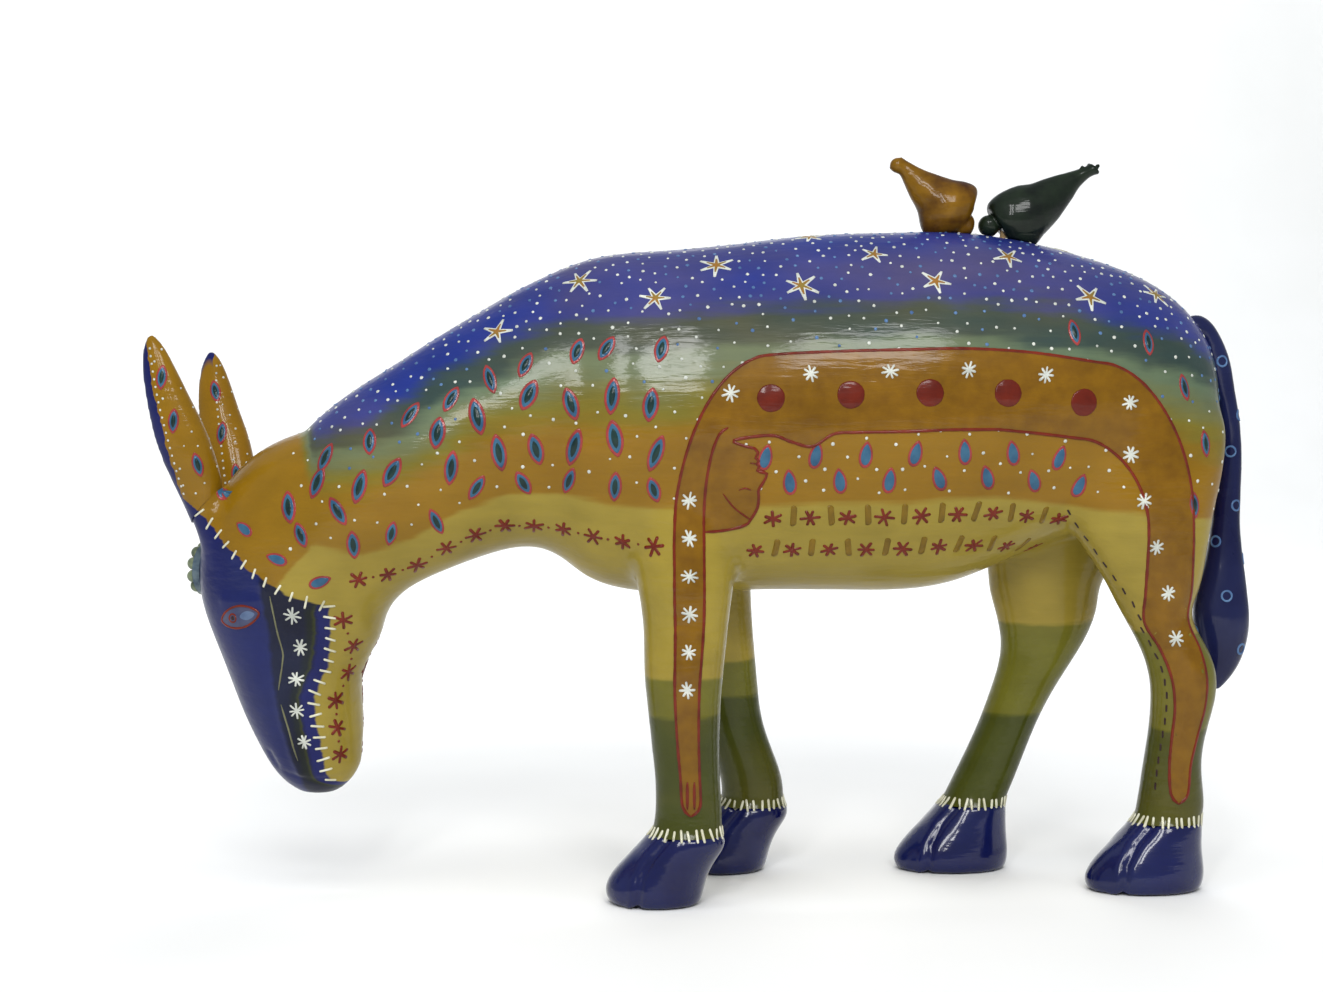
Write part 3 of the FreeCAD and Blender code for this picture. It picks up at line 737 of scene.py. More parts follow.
wood = plain_paint("bare_copal", srgb(196, 168, 122), srgb(168, 136, 92), 30.0, rough=0.6, coat=0.0,
                   stretch=(30, 30, 240))
wreath_side = plain_paint("wreath_disc_paint", srgb(96, 112, 120), srgb(58, 74, 92), 300.0)
wreath_bead = plain_paint("wreath_bead_paint", srgb(128, 138, 108), srgb(84, 96, 78), 420.0)
wreath_middle = plain_paint("wreath_centre_paint", srgb(88, 108, 136), srgb(60, 78, 110), 300.0)
for ear in EARS:
    tangs[ear].shade_flat()
    shown(ear + "_tang", tangs[ear], wood, ear)
for name, node in NODES.items():
    for key, material in (("wreath_disc", wreath_side), ("wreath_beads", wreath_bead),
                          ("wreath_centre", wreath_middle), ("dowel", wood), ("peg", wood)):
        if key in name:
            node.data.materials.clear()
            node.data.materials.append(material)


# ---------------------------------------------------------------- painting


def tree_of(objects):
    verts, faces = [], []
    for obj in objects:
        start = len(verts)
        verts += [v.co.copy() for v in obj.data.vertices]
        faces += [[start + i for i in p.vertices] for p in obj.data.polygons]
    return BVHTree.FromPolygons(verts, faces)


SURFACE = {
    "carving": tree_of([obj for name, obj in carved.items() if obj["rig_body"] == "carving"]),
    **{name: tree_of([carved[name]]) for name in EARS + ["tail", "yellow_bird", "green_bird"]},
}


class Spot:
    """A place on a body's surface: point, outward normal, and the right and up of what is painted there."""

    def __init__(self, body, place, normal, side):
        self.body, self.place, self.normal, self.side = body, place, normal, side
        up = Vector((0, 0, 1)) - normal * normal.z
        self.up = up.normalized() if up.length > 0.25 else (Vector((-1, 0, 0)) + normal * normal.x).normalized()
        self.right = self.up.cross(normal) * (1 if side < 0 else -1)

    def out(self, a, b, height, wrap=True):
        """The point a right, b up (mm) and height over the surface (mm)."""
        point = self.place + (self.right * a + self.up * b) * MM
        normal = self.normal
        if wrap:
            found = SURFACE[self.body].ray_cast(point + normal * 0.006, -normal, 0.02)
            if found[0] is None:
                found = SURFACE[self.body].find_nearest(point)
            if found[0] is not None:
                point = found[0]
        return point + normal * height * MM


def seen_from(body, origin, aim, side):
    place, normal, _, _ = SURFACE[body].ray_cast(origin, aim)
    return Spot(body, place, normal, side) if place else None


def flank(x, z, side, body="carving"):
    """The spot that shows at (x, z) mm when the figure is seen square from its side."""
    return seen_from(body, Vector((x * MM, 0.2 * side, z * MM)), Vector((0, -side, 0)), side)


def cheek(u, w, side, body="carving"):
    """The spot that shows at (u, w) mm when the head is seen square from its side."""
    aim = (HEAD.to_3x3() @ Vector((0, -side, 0))).normalized()
    return seen_from(body, HEAD @ Vector((u * MM, 0.2 * side, w * MM)), aim, side)


class Coat:
    """Dabs and strokes of one paint on one body, gathered into one piece of slightly raised paint."""

    def __init__(self, name, body, slot, material):
        self.name, self.body, self.slot, self.material = name, body, slot, material
        self.points, self.faces = [], []

    def stack(self, rings, centre, turned):
        """Joins closed rings of points one inside the other, and closes the last with a centre point."""
        start, count = len(self.points), len(rings[0])
        for ring in rings:
            self.points += ring
        for level in range(len(rings) - 1):
            base = start + level * count
            for i in range(count):
                j = (i + 1) % count
                self.add(turned, base + i, base + j, base + j + count, base + i + count)
        if centre is not None:
            self.points.append(centre)
            last = start + (len(rings) - 1) * count
            for i in range(count):
                self.add(turned, last + i, last + (i + 1) % count, len(self.points) - 1)

    def add(self, turned, *face):
        self.faces.append(face[::-1] if turned else face)

    def dab(self, spot, outline, lift=0.3, spin=0.0, shift=(0, 0), wrap=True, crown=0.72):
        """A dab with a soft edge: outline is (a, b) points in mm, anticlockwise."""
        if spot is None:
            return
        c, s = math.cos(spin), math.sin(spin)
        turned = [(a * c - b * s + shift[0], a * s + b * c + shift[1]) for a, b in outline]
        middle = shift
        rim = [spot.out(a, b, 0, wrap) for a, b in turned]
        top = [spot.out(middle[0] + (a - middle[0]) * crown, middle[1] + (b - middle[1]) * crown, lift, wrap)
               for a, b in turned]
        foot = [p - spot.normal * 0.3 * MM for p in rim]
        edge = [p + spot.normal * lift * 0.55 * MM for p in rim]
        rings = [foot, edge, top] if wrap else [foot, top]
        self.stack(rings, spot.out(*middle, lift * 1.05, wrap), spot.side > 0)

    def ribbon(self, spots, width, lift=0.28, closed=False, taper=True):
        """A brush stroke through the spots, width mm wide."""
        spots = [s for s in spots if s is not None]
        count = len(spots)
        start = len(self.points)
        for i, spot in enumerate(spots):
            before = spots[i - 1] if i or closed else spots[0]
            after = spots[(i + 1) % count] if i + 1 < count or closed else spots[-1]
            run = after.place - before.place
            run = run - spot.normal * run.dot(spot.normal)
            across = run.normalized().cross(spot.normal)
            end = min(i, count - 1 - i) if taper and not closed else 9
            half = width / 2 * (0.35 if end == 0 else 0.75 if end == 1 else 1.0) * random.uniform(0.86, 1.12)
            for off, height in ((1, -0.3), (0.75, lift), (-0.75, lift), (-1, -0.3)):
                point = spot.place + across * off * half * MM
                found = SURFACE[self.body].find_nearest(point)[0]
                self.points.append((found if found else point) + spot.normal * height * MM)
        for i in range(count if closed else count - 1):
            j = (i + 1) % count
            here, there = start + 4 * i, start + 4 * j
            for k in range(3):
                self.faces.append((here + k, there + k, there + k + 1, here + k + 1))
        if not closed and count > 1:
            self.faces.append(tuple(start + k for k in range(4)))
            self.faces.append(tuple(start + 4 * (count - 1) + k for k in (3, 2, 1, 0)))

    def patch(self, outline, place_of, turned, lift=0.12, mesh_size=2.4):
        """An even layer inside an outline; place_of turns a flat (x, y) in mm into a spot."""
        xs, ys = zip(*outline)
        inner = [(x, y) for x in np.arange(min(xs), max(xs), mesh_size)
                 for y in np.arange(min(ys), max(ys), mesh_size)
                 if inside(outline, x, y) and min(math.dist((x, y), p) for p in outline) > mesh_size * 0.5]
        flat = [Vector(p) for p in list(outline) + inner]
        made = geometry.delaunay_2d_cdt(flat, [], [list(range(len(outline)))], 1, 1e-6)
        start, border = len(self.points), len(outline)
        spots = [place_of(*p) for p in made[0]]
        last = next(s for s in spots if s)
        for spot in spots:
            last = spot or last
            self.points.append(last.place + last.normal * lift * MM)
        for face in made[2]:
            self.add(turned, *[start + i for i in face])

    def show(self):
        mesh = bpy.data.meshes.new(self.name)
        mesh.from_pydata(self.points, [], self.faces)
        mesh.update()
        mesh.shade_smooth()
        return shown(self.name, mesh, self.material, self.body)


def inside(outline, x, y):
    """Whether the point is inside the closed outline."""
    odd = False
    for (ax, ay), (bx, by) in zip(outline, outline[1:] + outline[:1]):
        if (ay > y) != (by > y) and x < (bx - ax) * (y - ay) / (by - ay) + ax:
            odd = not odd
    return odd


def smooth_line(points, step, closed=False):
    """Points about step mm apart on a smooth line through the given ones."""
    points = [Vector(p) for p in points]
    count = len(points)
    made = []
    for i in range(count if closed else count - 1):
        p0 = points[i - 1] if i or closed else points[0]
        p1, p2 = points[i], points[(i + 1) % count]
        p3 = points[(i + 2) % count] if closed or i + 2 < count else points[-1]
        parts_here = max(1, round((p2 - p1).length / step))
        for k in range(parts_here):
            t = k / parts_here
            made.append(0.5 * (2 * p1 + (p2 - p0) * t + (2 * p0 - 5 * p1 + 4 * p2 - p3) * t * t
                               + (3 * p1 - p0 - 3 * p2 + p3) * t ** 3))
    if not closed:
        made.append(points[-1])
    return [tuple(p) for p in made]


def row(points, count):
    """count places at even distances along a smooth line through the points."""
    fine = np.array(smooth_line(points, 1.0))
    run = np.concatenate([[0], np.cumsum(np.hypot(*np.diff(fine, axis=0).T))])
    where = np.linspace(0, run[-1], count)
    return list(zip(np.interp(where, run, fine[:, 0]), np.interp(where, run, fine[:, 1])))


def round_dab(radius, corners=8):
    uneven = 0.1 if corners < 12 else 0.02
    made = []
    for i in range(corners):
        far = radius * random.uniform(1 - uneven, 1 + uneven)
        made.append((far * math.cos(2 * math.pi * i / corners), far * math.sin(2 * math.pi * i / corners)))
    return made


def leaf(length, width, top=0.42, foot=0.42, corners=22):
    """A leaf with a pointed top and foot; a drop has foot 0. It stands upright."""
    made = []
    for i in range(corners):
        a = 2 * math.pi * i / corners
        x = -math.sin(a) * abs(math.sin(a / 2)) ** top * abs(math.cos(a / 2)) ** foot
        made.append((x * width / 2 * 1.2, math.cos(a) * length / 2))
    return made


def bar(length, width, bow=0.0):
    """One brush stroke, upright, with round ends."""
    ends = [(math.pi * k / 4, 1) for k in range(5)] + [(math.pi + math.pi * k / 4, -1) for k in range(5)]
    half = length / 2 - width / 2
    made = [(math.cos(a) * width / 2, math.sin(a) * width / 2 + half * s) for a, s in ends]
    return [(x + bow * (1 - (2 * y / length) ** 2), y) for x, y in made]


def star_shape(arms, outer, inner):
    made = []
    for i in range(arms):
        a = 2 * math.pi * i / arms + random.uniform(-0.1, 0.1) + math.pi / 2
        far = outer * random.uniform(0.9, 1.1)
        for turn, reach in ((-0.07, far), (0.07, far), (math.pi / arms, inner)):
            made.append((reach * math.cos(a + turn), reach * math.sin(a + turn)))
    return made


def asterisk(coat, spot, size, strokes, width, lift=0.34):
    spin = random.uniform(0, math.pi)
    for k in range(strokes):
        coat.dab(spot, bar(size * random.uniform(0.85, 1.1), width * random.uniform(0.85, 1.15)), lift,
                 spin + math.pi * k / strokes + random.uniform(-0.12, 0.12), crown=0.6)


def tint(name, colour, other=None, **finish):
    return plain_paint(name, srgb(*colour), srgb(*(other or [c * 0.78 for c in colour])), 160.0, **finish)


WHITE = tint("white_dab", (204, 206, 196), (168, 172, 164))
SKY = tint("sky_dab", (84, 116, 156), (60, 88, 130))
LEAF_RED = tint("leaf_red", (150, 56, 54), (120, 44, 44))
LEAF_BLUE = tint("leaf_blue", (54, 96, 122), (38, 74, 104))
LEAF_DARK = tint("leaf_dark", (26, 52, 48), (16, 34, 34))
RUST = tint("rust", (112, 34, 14), (88, 24, 10))
STAR_GOLD = tint("star_gold", (120, 108, 48), (146, 88, 36))
DASH = tint("dash_ochre", (120, 92, 14), (96, 74, 14))
BROWN = tint("figure_brown", (118, 82, 6), (104, 70, 6), bump=0.5)
DISC = tint("disc_red", (98, 28, 12), (80, 20, 10))
CREAM = tint("stitch_cream", (214, 212, 190), (184, 180, 150))
GREY_EYE = tint("eye_grey", (70, 74, 98), (48, 54, 86))
EYE_CORNER = tint("eye_corner", (92, 110, 138), (70, 86, 116))
# Pale line along each cheek crest: a painted highlight where the ridge catches the light.
CREST_HIGHLIGHT = tint("crest_highlight", (112, 112, 84))
SEAM = tint("seam_dark", (52, 30, 30), (40, 24, 28))

coats = {}


def coat_of(kind, body, material):
    slots = {"carving": "painted_wood", "tail": "tail_paint", "left_ear": "ear_paint", "right_ear": "ear_paint"}
    key = body + "_" + kind
    if key not in coats:
        coats[key] = Coat(key, body, slots[body], material)
    return coats[key]


taken = []


def keep_clear(spot, radius):
    if spot is not None:
        taken.append((spot.place.copy(), radius * MM))


def leaf_at(spot, length, width, spin, body="carving", drop=False):
    if spot is None or any((spot.place - place).length < radius * 1.5 for place, radius in taken):
        return
    keep_clear(spot, length * 0.5)
    foot = 0.0 if drop else 0.42
    wide = width * (0.85 if drop else 1.0)
    coat_of("leaf_rims", body, LEAF_RED).dab(spot, leaf(length, wide, foot=foot), 0.22, spin, crown=0.9)
    coat_of("leaf_blues", body, LEAF_BLUE).dab(spot, leaf(length * 0.8, wide * 0.72, foot=foot), 0.34, spin,
                                               crown=0.88)
    if not drop:
        coat_of("leaf_hearts", body, LEAF_DARK).dab(spot, leaf(length * 0.56, wide * 0.42), 0.46, spin, crown=0.85)


def star_at(spot, size, arms):
    if spot is None:
        return
    keep_clear(spot, size * 0.55)
    spin = random.uniform(0, 2)
    shape = star_shape(arms, size / 2, size * 0.15)
    small = [(a * 0.62, b * 0.62) for a, b in shape]
    coat_of("stars", "carving", WHITE).dab(spot, shape, 0.26, spin, crown=0.84)
    coat_of("star_hearts", "carving", STAR_GOLD).dab(spot, small, 0.4, spin, crown=0.8)


def leg_sides(leg):
    """Heights up a leg, and its front and rear edge at each."""
    heights = np.arange(HOOF_TOP + 6, TRUNK_LOW.z - 4, 6)
    front, rear = slices(points_of(carved[leg + "_leg"].data) / MM, heights, 4, 2, 0).T
    return heights, front, rear


LEG_SIDES = {leg: leg_sides(leg) for leg in LEGS}


def on_leg(leg, z, share):
    """x at height z, a share of the way from the leg's front edge to its rear edge."""
    heights, front, rear = LEG_SIDES[leg]
    return float(np.interp(z, heights, front + share * (rear - front)))


# The far legs stand elsewhere than the near ones: what is painted on them shifts with them.
def leg_shift(x, z, side):
    if side < 0 or z > 150:
        return x
    end = "front" if x < LEG_DIVIDE else "rear"
    shift = on_leg(end + "_right", z, 0.5) - on_leg(end + "_left", z, 0.5)
    fade = min(1.0, max(0.0, (150 - z) / 40))
    return x + shift * fade * fade * (3 - 2 * fade)


def figure_place(x, z, side):
    return flank(leg_shift(x, z, side), z, side)


# The arched figure painted on each flank: its arm runs down the front leg, its leg down the hind one, and its
# back keeps to two thirds of the body's height.
BACK_SHARE, BELLY_SHARE = 2 / 3, 0.45
HAND, WRIST = HOOF_TOP + 9, HOOF_TOP + 13
RISE = np.arange(WRIST, 150, 12)


def limb(leg, half, side):
    """One edge of a limb, from its end up to the body: side is -1 at the front and 1 at the rear."""
    return [(on_leg(leg, z, 0.5) + side * np.interp(z, (WRIST, TRUNK_LOW.z), (3.5, half)), z) for z in RISE]


def bend(start, end, steps=7):
    """A quarter of an ellipse that leaves start upright and comes to end level."""
    turns = [math.pi / 2 * k / steps for k in range(steps + 1)]
    return [(end[0] + (start[0] - end[0]) * math.cos(a), start[1] + (end[1] - start[1]) * math.sin(a))
            for a in turns]


def calm_profile(plane, chin, height, behind):
    """A plain calm profile, crown down, on textbook proportions.

    Chin to nose, nose to brow and brow to hairline are a third each, and the skull rises half a third more. Each
    mark is (thirds above the chin, thirds in front of the plane of the face).
    """
    third = height / 3.5
    marks = [(-0.3, -1.0), (-0.05, -0.5), (0.03, -0.15), (0.2, 0.0), (0.42, -0.1), (0.55, 0.03), (0.67, -0.06),
             (0.78, 0.06), (0.95, -0.02), (1.0, 0.12), (1.08, 0.38), (1.25, 0.34), (1.8, 0.05), (2.0, 0.08),
             (2.5, 0.05), (3.0, -0.2)]
    line = [(plane + out * third, chin - up * third) for up, out in marks]
    hairline = line[-1]
    skull = [(behind + (hairline[0] - behind) * math.cos(a), hairline[1] - third / 2 * math.sin(a))
             for a in (math.pi / 10 * k for k in range(1, 6))]
    inner = [[(-0.25, 1.75), (-0.5, 1.67), (-0.75, 1.76)], [(-0.06, 0.67), (-0.32, 0.63)],
             [(-0.2, 3.0), (-0.9, 2.5), (-1.4, 1.9)]]
    strokes = [[(plane + out * third, chin - up * third) for out, up in stroke] for stroke in inner]
    return line + skull, strokes


arm_front, arm_rear = limb("front_left", 6, -1), limb("front_left", 6, 1)[::-1]
leg_front, leg_rear = limb("rear_left", 10, -1), limb("rear_left", 10, 1)[::-1]
hand, foot = (on_leg("front_left", HAND, 0.5), HAND), (on_leg("rear_left", HAND, 0.5), HAND)
shoulder, hip = arm_front[-1][0] + 40, leg_rear[0][0] - 45
groin, armpit = leg_front[-1][0] - 32, arm_rear[0][0] + 26
FIGURE_BACK = ([hand] + arm_front[:-1] + bend(arm_front[-1], (shoulder, level(shoulder, BACK_SHARE)))
               + [(x, level(x, BACK_SHARE)) for x in np.linspace(shoulder, hip, 6)[1:-1]]
               + bend(leg_rear[0], (hip, level(hip, BACK_SHARE)))[::-1] + leg_rear[1:] + [foot])
FIGURE_FRONT = ([foot] + leg_front[:-1] + bend(leg_front[-1], (groin, level(groin, BELLY_SHARE)))
                + [(x, level(x, BELLY_SHARE) - 6 * math.exp(-(((x - armpit - 14) / 7) ** 2)))
                   for x in np.linspace(groin, armpit, 16)[1:]])
FIGURE_FACE, FACE_STROKES = calm_profile(arm_rear[0][0] + 21, level(armpit, BELLY_SHARE) - 5, 34, arm_rear[0][0])
FIGURE_SHOULDER = bend((arm_rear[0][0], RISE[-1] + 9),
                       (arm_rear[0][0] + 9, level(armpit, BELLY_SHARE) + 3), 4)[::-1]
figure_outline = (smooth_line(FIGURE_BACK, 2.2)[:-1] + smooth_line(FIGURE_FRONT, 2.2)
                  + smooth_line(FIGURE_FACE, 1.1) + smooth_line(arm_rear + [hand], 2.2)[:-1])
fills, lines = coat_of("figure_fill", "carving", BROWN), coat_of("figure_lines", "carving", RUST)
discs = np.linspace(shoulder - 2, hip - 4, 5)
for side in SIDES:
    fills.patch(figure_outline, lambda x, z: figure_place(x, z, side), side > 0)
    fingers = [[(hand[0] + off, HAND + 3), (hand[0] + off, HAND + 14)] for off in (-1.4, 1.4)]
    for path in [FIGURE_BACK, FIGURE_FRONT + FIGURE_FACE, FIGURE_SHOULDER + arm_rear + [hand]] + fingers:
        lines.ribbon([figure_place(x, z, side) for x, z in smooth_line(path, 1.5)], 1.4, 0.4)
    for path in FACE_STROKES:
        lines.ribbon([figure_place(x, z, side) for x, z in smooth_line(path, 1.2)], 0.8, 0.4)
    for x in discs:
        coat_of("figure_discs", "carving", DISC).dab(flank(x, level(x, 0.55), side), round_dab(5.6, 20), 0.32,
                                                     crown=0.9)
    whites = [(x, level(x, 0.61)) for x in (discs[1:] + discs[:-1]) / 2]
    whites += [(x, level(x, 0.57)) for x in (discs[0] - 16, discs[-1] + 20)]
    whites += [(on_leg("rear_left", z, 0.5) - 0.3 * max(0, z - TRUNK_LOW.z), z) for z in np.linspace(106, 182, 5)]
    whites += [(on_leg("front_left", z, 0.5), z) for z in np.linspace(88, 164, 6)]
    for x, z in whites:
        asterisk(coat_of("white_asterisks", "carving", WHITE), figure_place(x, z, side), 7.0, 4, 0.9, 0.42)

# Rows of leaves on the neck and shoulder, drops under the figure, leaves on the rump, and stars along the back.
ARM = arm_front[-1][0] - 8
FLANK = (arm_rear[0][0] + 28, leg_front[-1][0] - 34)


def even(start, end, gap):
    """Places from start to end, as near as can be to this gap apart."""
    return np.linspace(start, end, round(abs(end - start) / gap) + 1)


for side in SIDES:
    for share, start, size in ((0.71, 14, 12.5), (0.57, 6, 14.5), (0.43, -3, 14.5), (0.3, 4, 12)):
        for x in even(NECK_LOW.x + start, ARM, 17):
            x += random.uniform(-3, 3)
            leaf_at(flank(x, level(x, share) + random.uniform(-3.5, 3.5), side), size * random.uniform(0.9, 1.1),
                    size / 2 * random.uniform(0.85, 1.1), random.choice((-1, 1)) * random.uniform(0.05, 0.55))
    for share in (0.32, 0.39):
        for x in even(*FLANK, 20) + (6 if share < 0.35 else -4):
            if not inside(figure_outline, x, level(x, share)):
                leaf_at(flank(x, level(x, share), side), 11, 6.4, random.uniform(-0.45, 0.45), drop=True)
    for inset, share in ((24, 0.66), (15, 0.5), (20, 0.3), (72, 0.74), (40, 0.76)):
        x = TRUNK_HIGH.x - inset
        leaf_at(flank(x, level(x, share), side), 11.5, 5.6, random.uniform(-0.4, 0.4))
    for k, x in enumerate(even(NECK_HIGH.x - 34, TRUNK_HIGH.x - 34, 30)):
        x += random.uniform(-5, 5)
        star_at(flank(x, level(x, 0.93 if k % 2 else 0.85), side), 14 * random.uniform(0.85, 1.05),
                random.choice((5, 6)))
for k, x in enumerate(even(-30, 150, 36)):
    y = 14 * math.sin(2.4 * k)
    star_at(seen_from("carving", Vector((x * MM, y * MM, 0.4)), Vector((0, 0, -1)), -1), 13, random.choice((5, 6)))

# Red asterisks along the throat and in two rows on the belly, with dots or dashes between.
for side in SIDES:
    reds = coat_of("red_asterisks", "carving", RUST)
    small = coat_of("red_dots", "carving", RUST)
    throat = [(on_head(w, 0.92), w) for w in even(MASK_HEIGHT - 6, HEAD_LOW.z + 18, 12)]
    for u, w in throat:
        asterisk(reds, cheek(u, w, side), 8.6, 3, 1.3)
    for (u, w), (u2, w2) in zip(throat, throat[1:]):
        small.dab(cheek((u + u2) / 2, (w + w2) / 2, side), round_dab(0.7), 0.25, wrap=False)
    under = [(x, level(x, 0.15)) for x in even(NECK_LOW.x + 24, ARM, 12)]
    for x, z in under:
        asterisk(reds, flank(x, z, side), 8.4, 3, 1.3)
    for (x, z), (x2, z2) in zip(under, under[1:]):
        small.dab(flank((x + x2) / 2, (z + z2) / 2, side), round_dab(0.7), 0.25, wrap=False)
    for share in (0.22, 0.13):
        places = [(x, level(x, share)) for x in even(*FLANK, 15) - (6 if share < 0.2 else 0)]
        for x, z in places:
            asterisk(reds, flank(x, z, side), 8.2, 3, 1.3)
        for (x, z), (x2, z2) in zip(places, places[1:]):
            coat_of("belly_dashes", "carving", DASH).dab(
                flank((x + x2) / 2 + 0.5, (z + z2) / 2 + 1, side), bar(9.4, 2.5, random.uniform(-1.0, 1.0)), 0.3,
                random.uniform(-0.15, 0.15), crown=0.8)

# Face: white asterisks down the cheek, the eye, painted highlights down the cheek crests, and the stitches round
# the mask.
def almond(u, w, long, high, tilt=0.2):
    """An eye-shaped outline with its front corner low."""
    made = []
    for k in range(14):
        a = 2 * math.pi * k / 14
        x, y = long / 2 * math.cos(a), high / 2 * math.sin(a) * abs(math.sin(a)) ** 0.4
        made.append((u + x * math.cos(tilt) - y * math.sin(tilt), w + x * math.sin(tilt) + y * math.cos(tilt)))
    return made


for side in SIDES:
    for w in even(MASK_HEIGHT - 4, HEAD_LOW.z + 24, 13):
        asterisk(coat_of("white_asterisks", "carving", WHITE), cheek(on_head(w, 0.68), w, side), 7.0, 4, 0.8)
    outline = smooth_line(almond(*EYE, 19, 9), 1.0, closed=True)
    coat_of("eye_whites", "carving", GREY_EYE).patch(outline, lambda u, w: cheek(u, w, side), side > 0, 0.15, 1.2)
    corner = almond(EYE[0] + 4, EYE[1] + 0.8, 7, 3.6)
    coat_of("eye_corners", "carving", EYE_CORNER).patch(smooth_line(corner, 1.0, closed=True),
                                                         lambda u, w: cheek(u, w, side), side > 0, 0.24, 1.0)
    rims = coat_of("eye_lines", "carving", RUST)
    rims.ribbon([cheek(u, w, side) for u, w in outline], 1.0, 0.42, closed=True)
    pupil = (EYE[0] - 3, EYE[1] - 0.6)
    circle = [(pupil[0] + 1.7 * math.cos(a), pupil[1] + 1.7 * math.sin(a))
              for a in np.linspace(0, 2 * math.pi, 15)[:-1]]
    rims.ribbon([cheek(u, w, side) for u, w in circle], 0.8, 0.42, closed=True)
    coat_of("eye_pupils", "carving", SEAM).dab(cheek(*pupil, side), round_dab(0.9, 10), 0.4)
    # Pale strokes down each cheek crest, painted highlights of the ridge catching the light.
    for start, end in ((MASK_HEIGHT + 4, HEAD_LOW.z + 46), (HEAD_LOW.z + 40, HEAD_LOW.z + 16)):
        coat_of("cheek_crest_highlights", "carving", CREST_HIGHLIGHT).ribbon(
            [cheek(on_head(w, 0.58), w, side) for w in even(start, end, 2)], 0.8, 0.3)
    stitches = coat_of("mask_stitches", "carving", CREAM)
    top = [mask_slope(t) for t in (0.95, 0.7, 0.45, 0.2, 0.04)]
    back = [(u, w) for w, u in MASK_BACK[2:9]][::-1]
    for path, count in ((top, 13), (back, 17)):
        places = row(path, count)
        for i, (u, w) in enumerate(places):
            u2, w2 = places[min(i + 1, count - 1)]
            u1, w1 = places[max(i - 1, 0)]
            spin = math.atan2(w2 - w1, u2 - u1) + random.uniform(-0.25, 0.25)
            stitches.dab(cheek(u, w, side), bar(5.2 * random.uniform(0.85, 1.15), 0.9), 0.42, spin, crown=0.7)

# Stitches round the tops of the hooves.
for leg in LEGS:
    co = points_of(carved[leg + "_leg"].data)
    ankle = co[co[:, 2] < co[:, 2].min() + 3 * MM]
    middle = Vector((*((ankle.min(0) + ankle.max(0)) / 2)[:2], co[:, 2].min()))
    for k in range(28):
        a = 2 * math.pi * (k + random.uniform(-0.2, 0.2)) / 28
        out = Vector((math.cos(a), math.sin(a), 0))
        spot = seen_from("carving", middle + out * 0.024 + Vector((0, 0, 0.0012)), -out, -1)
        if spot:
            spot.normal = (out + Vector((0, 0, 0.25))).normalized()
            spot.up = (Vector((0, 0, 1)) - spot.normal * spot.normal.z).normalized()
            spot.right = spot.up.cross(spot.normal)
            coat_of("hoof_stitches", "carving", CREAM).dab(spot, bar(5.0 * random.uniform(0.8, 1.15), 0.95), 0.45,
                                                          random.uniform(-0.2, 0.2), crown=0.7)

# The dark dashed seam down the front edge of each hind leg.
for side in SIDES:
    for z in even(TRUNK_LOW.z + 36, HOOF_TOP + 16, 5.4):
        spot = figure_place(on_leg("rear_left", z, 0.15) - 0.7 * max(0, z - TRUNK_LOW.z + 6), z, side)
        coat_of("leg_seams", "carving", SEAM).dab(spot, bar(3.0, 0.8), 0.3, random.uniform(0.2, 0.5) * (z > 90))

# Ears: leaves and dots on both faces.
for ear in EARS:
    own = np.array([tuple(TO_HEAD @ v.co / MM) for v in carved[ear].data.vertices])
    for side in SIDES:
        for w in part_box(ear)[1].z / MM - np.array((18, 36, 54)):
            u = own[np.abs(own[:, 2] - w) < 4][:, 0].mean() + 2.5
            leaf_at(cheek(u, w, side, ear), 10.5, 5.2, random.uniform(-0.1, 0.35), ear)
        for u, w in row([(u + 1.4, w) for u, w in STRIP], 20):
            coat_of("dots", ear, WHITE).dab(cheek(u, w, side, ear), round_dab(0.62, 7), 0.22, wrap=False)
for side in SIDES:
    for t, spin in ((0.15, -1.2), (0.42, 1.3), (0.66, 1.1), (0.9, 0.2)):
        u, w = mask_slope(t)
        leaf_at(cheek(u + 8, w + 8, side), 10, 5.6, spin, drop=True)

# Rings on the tail.
rings = coat_of("rings", "tail", SKY)
tail_points = points_of(carved["tail"].data)
TAIL_LOW, TAIL_HIGH = [corner.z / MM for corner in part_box("tail")]
for k, w in enumerate(even(TAIL_HIGH - 20, TAIL_LOW + 18, 7.5)):
    turn = 137.5 * k - 80
    near = tail_points[np.abs(tail_points[:, 2] - w * MM) < 3 * MM]
    out = Vector((math.cos(math.radians(turn)), math.sin(math.radians(turn)), 0))
    middle = Vector((*((near.min(0) + near.max(0)) / 2)[:2], w * MM))
    spot = seen_from("tail", middle + out * 0.05, -out, -1)
    if spot:
        loop = [(2.2 * math.cos(2 * math.pi * i / 16), 2.2 * math.sin(2 * math.pi * i / 16)) for i in range(16)]
        ring_spots = []
        for a, b in loop:
            place = spot.out(a, b, 0)
            ring_spots.append(Spot("tail", place, spot.normal, -1))
        rings.ribbon(ring_spots, 1.0, 0.3, closed=True)


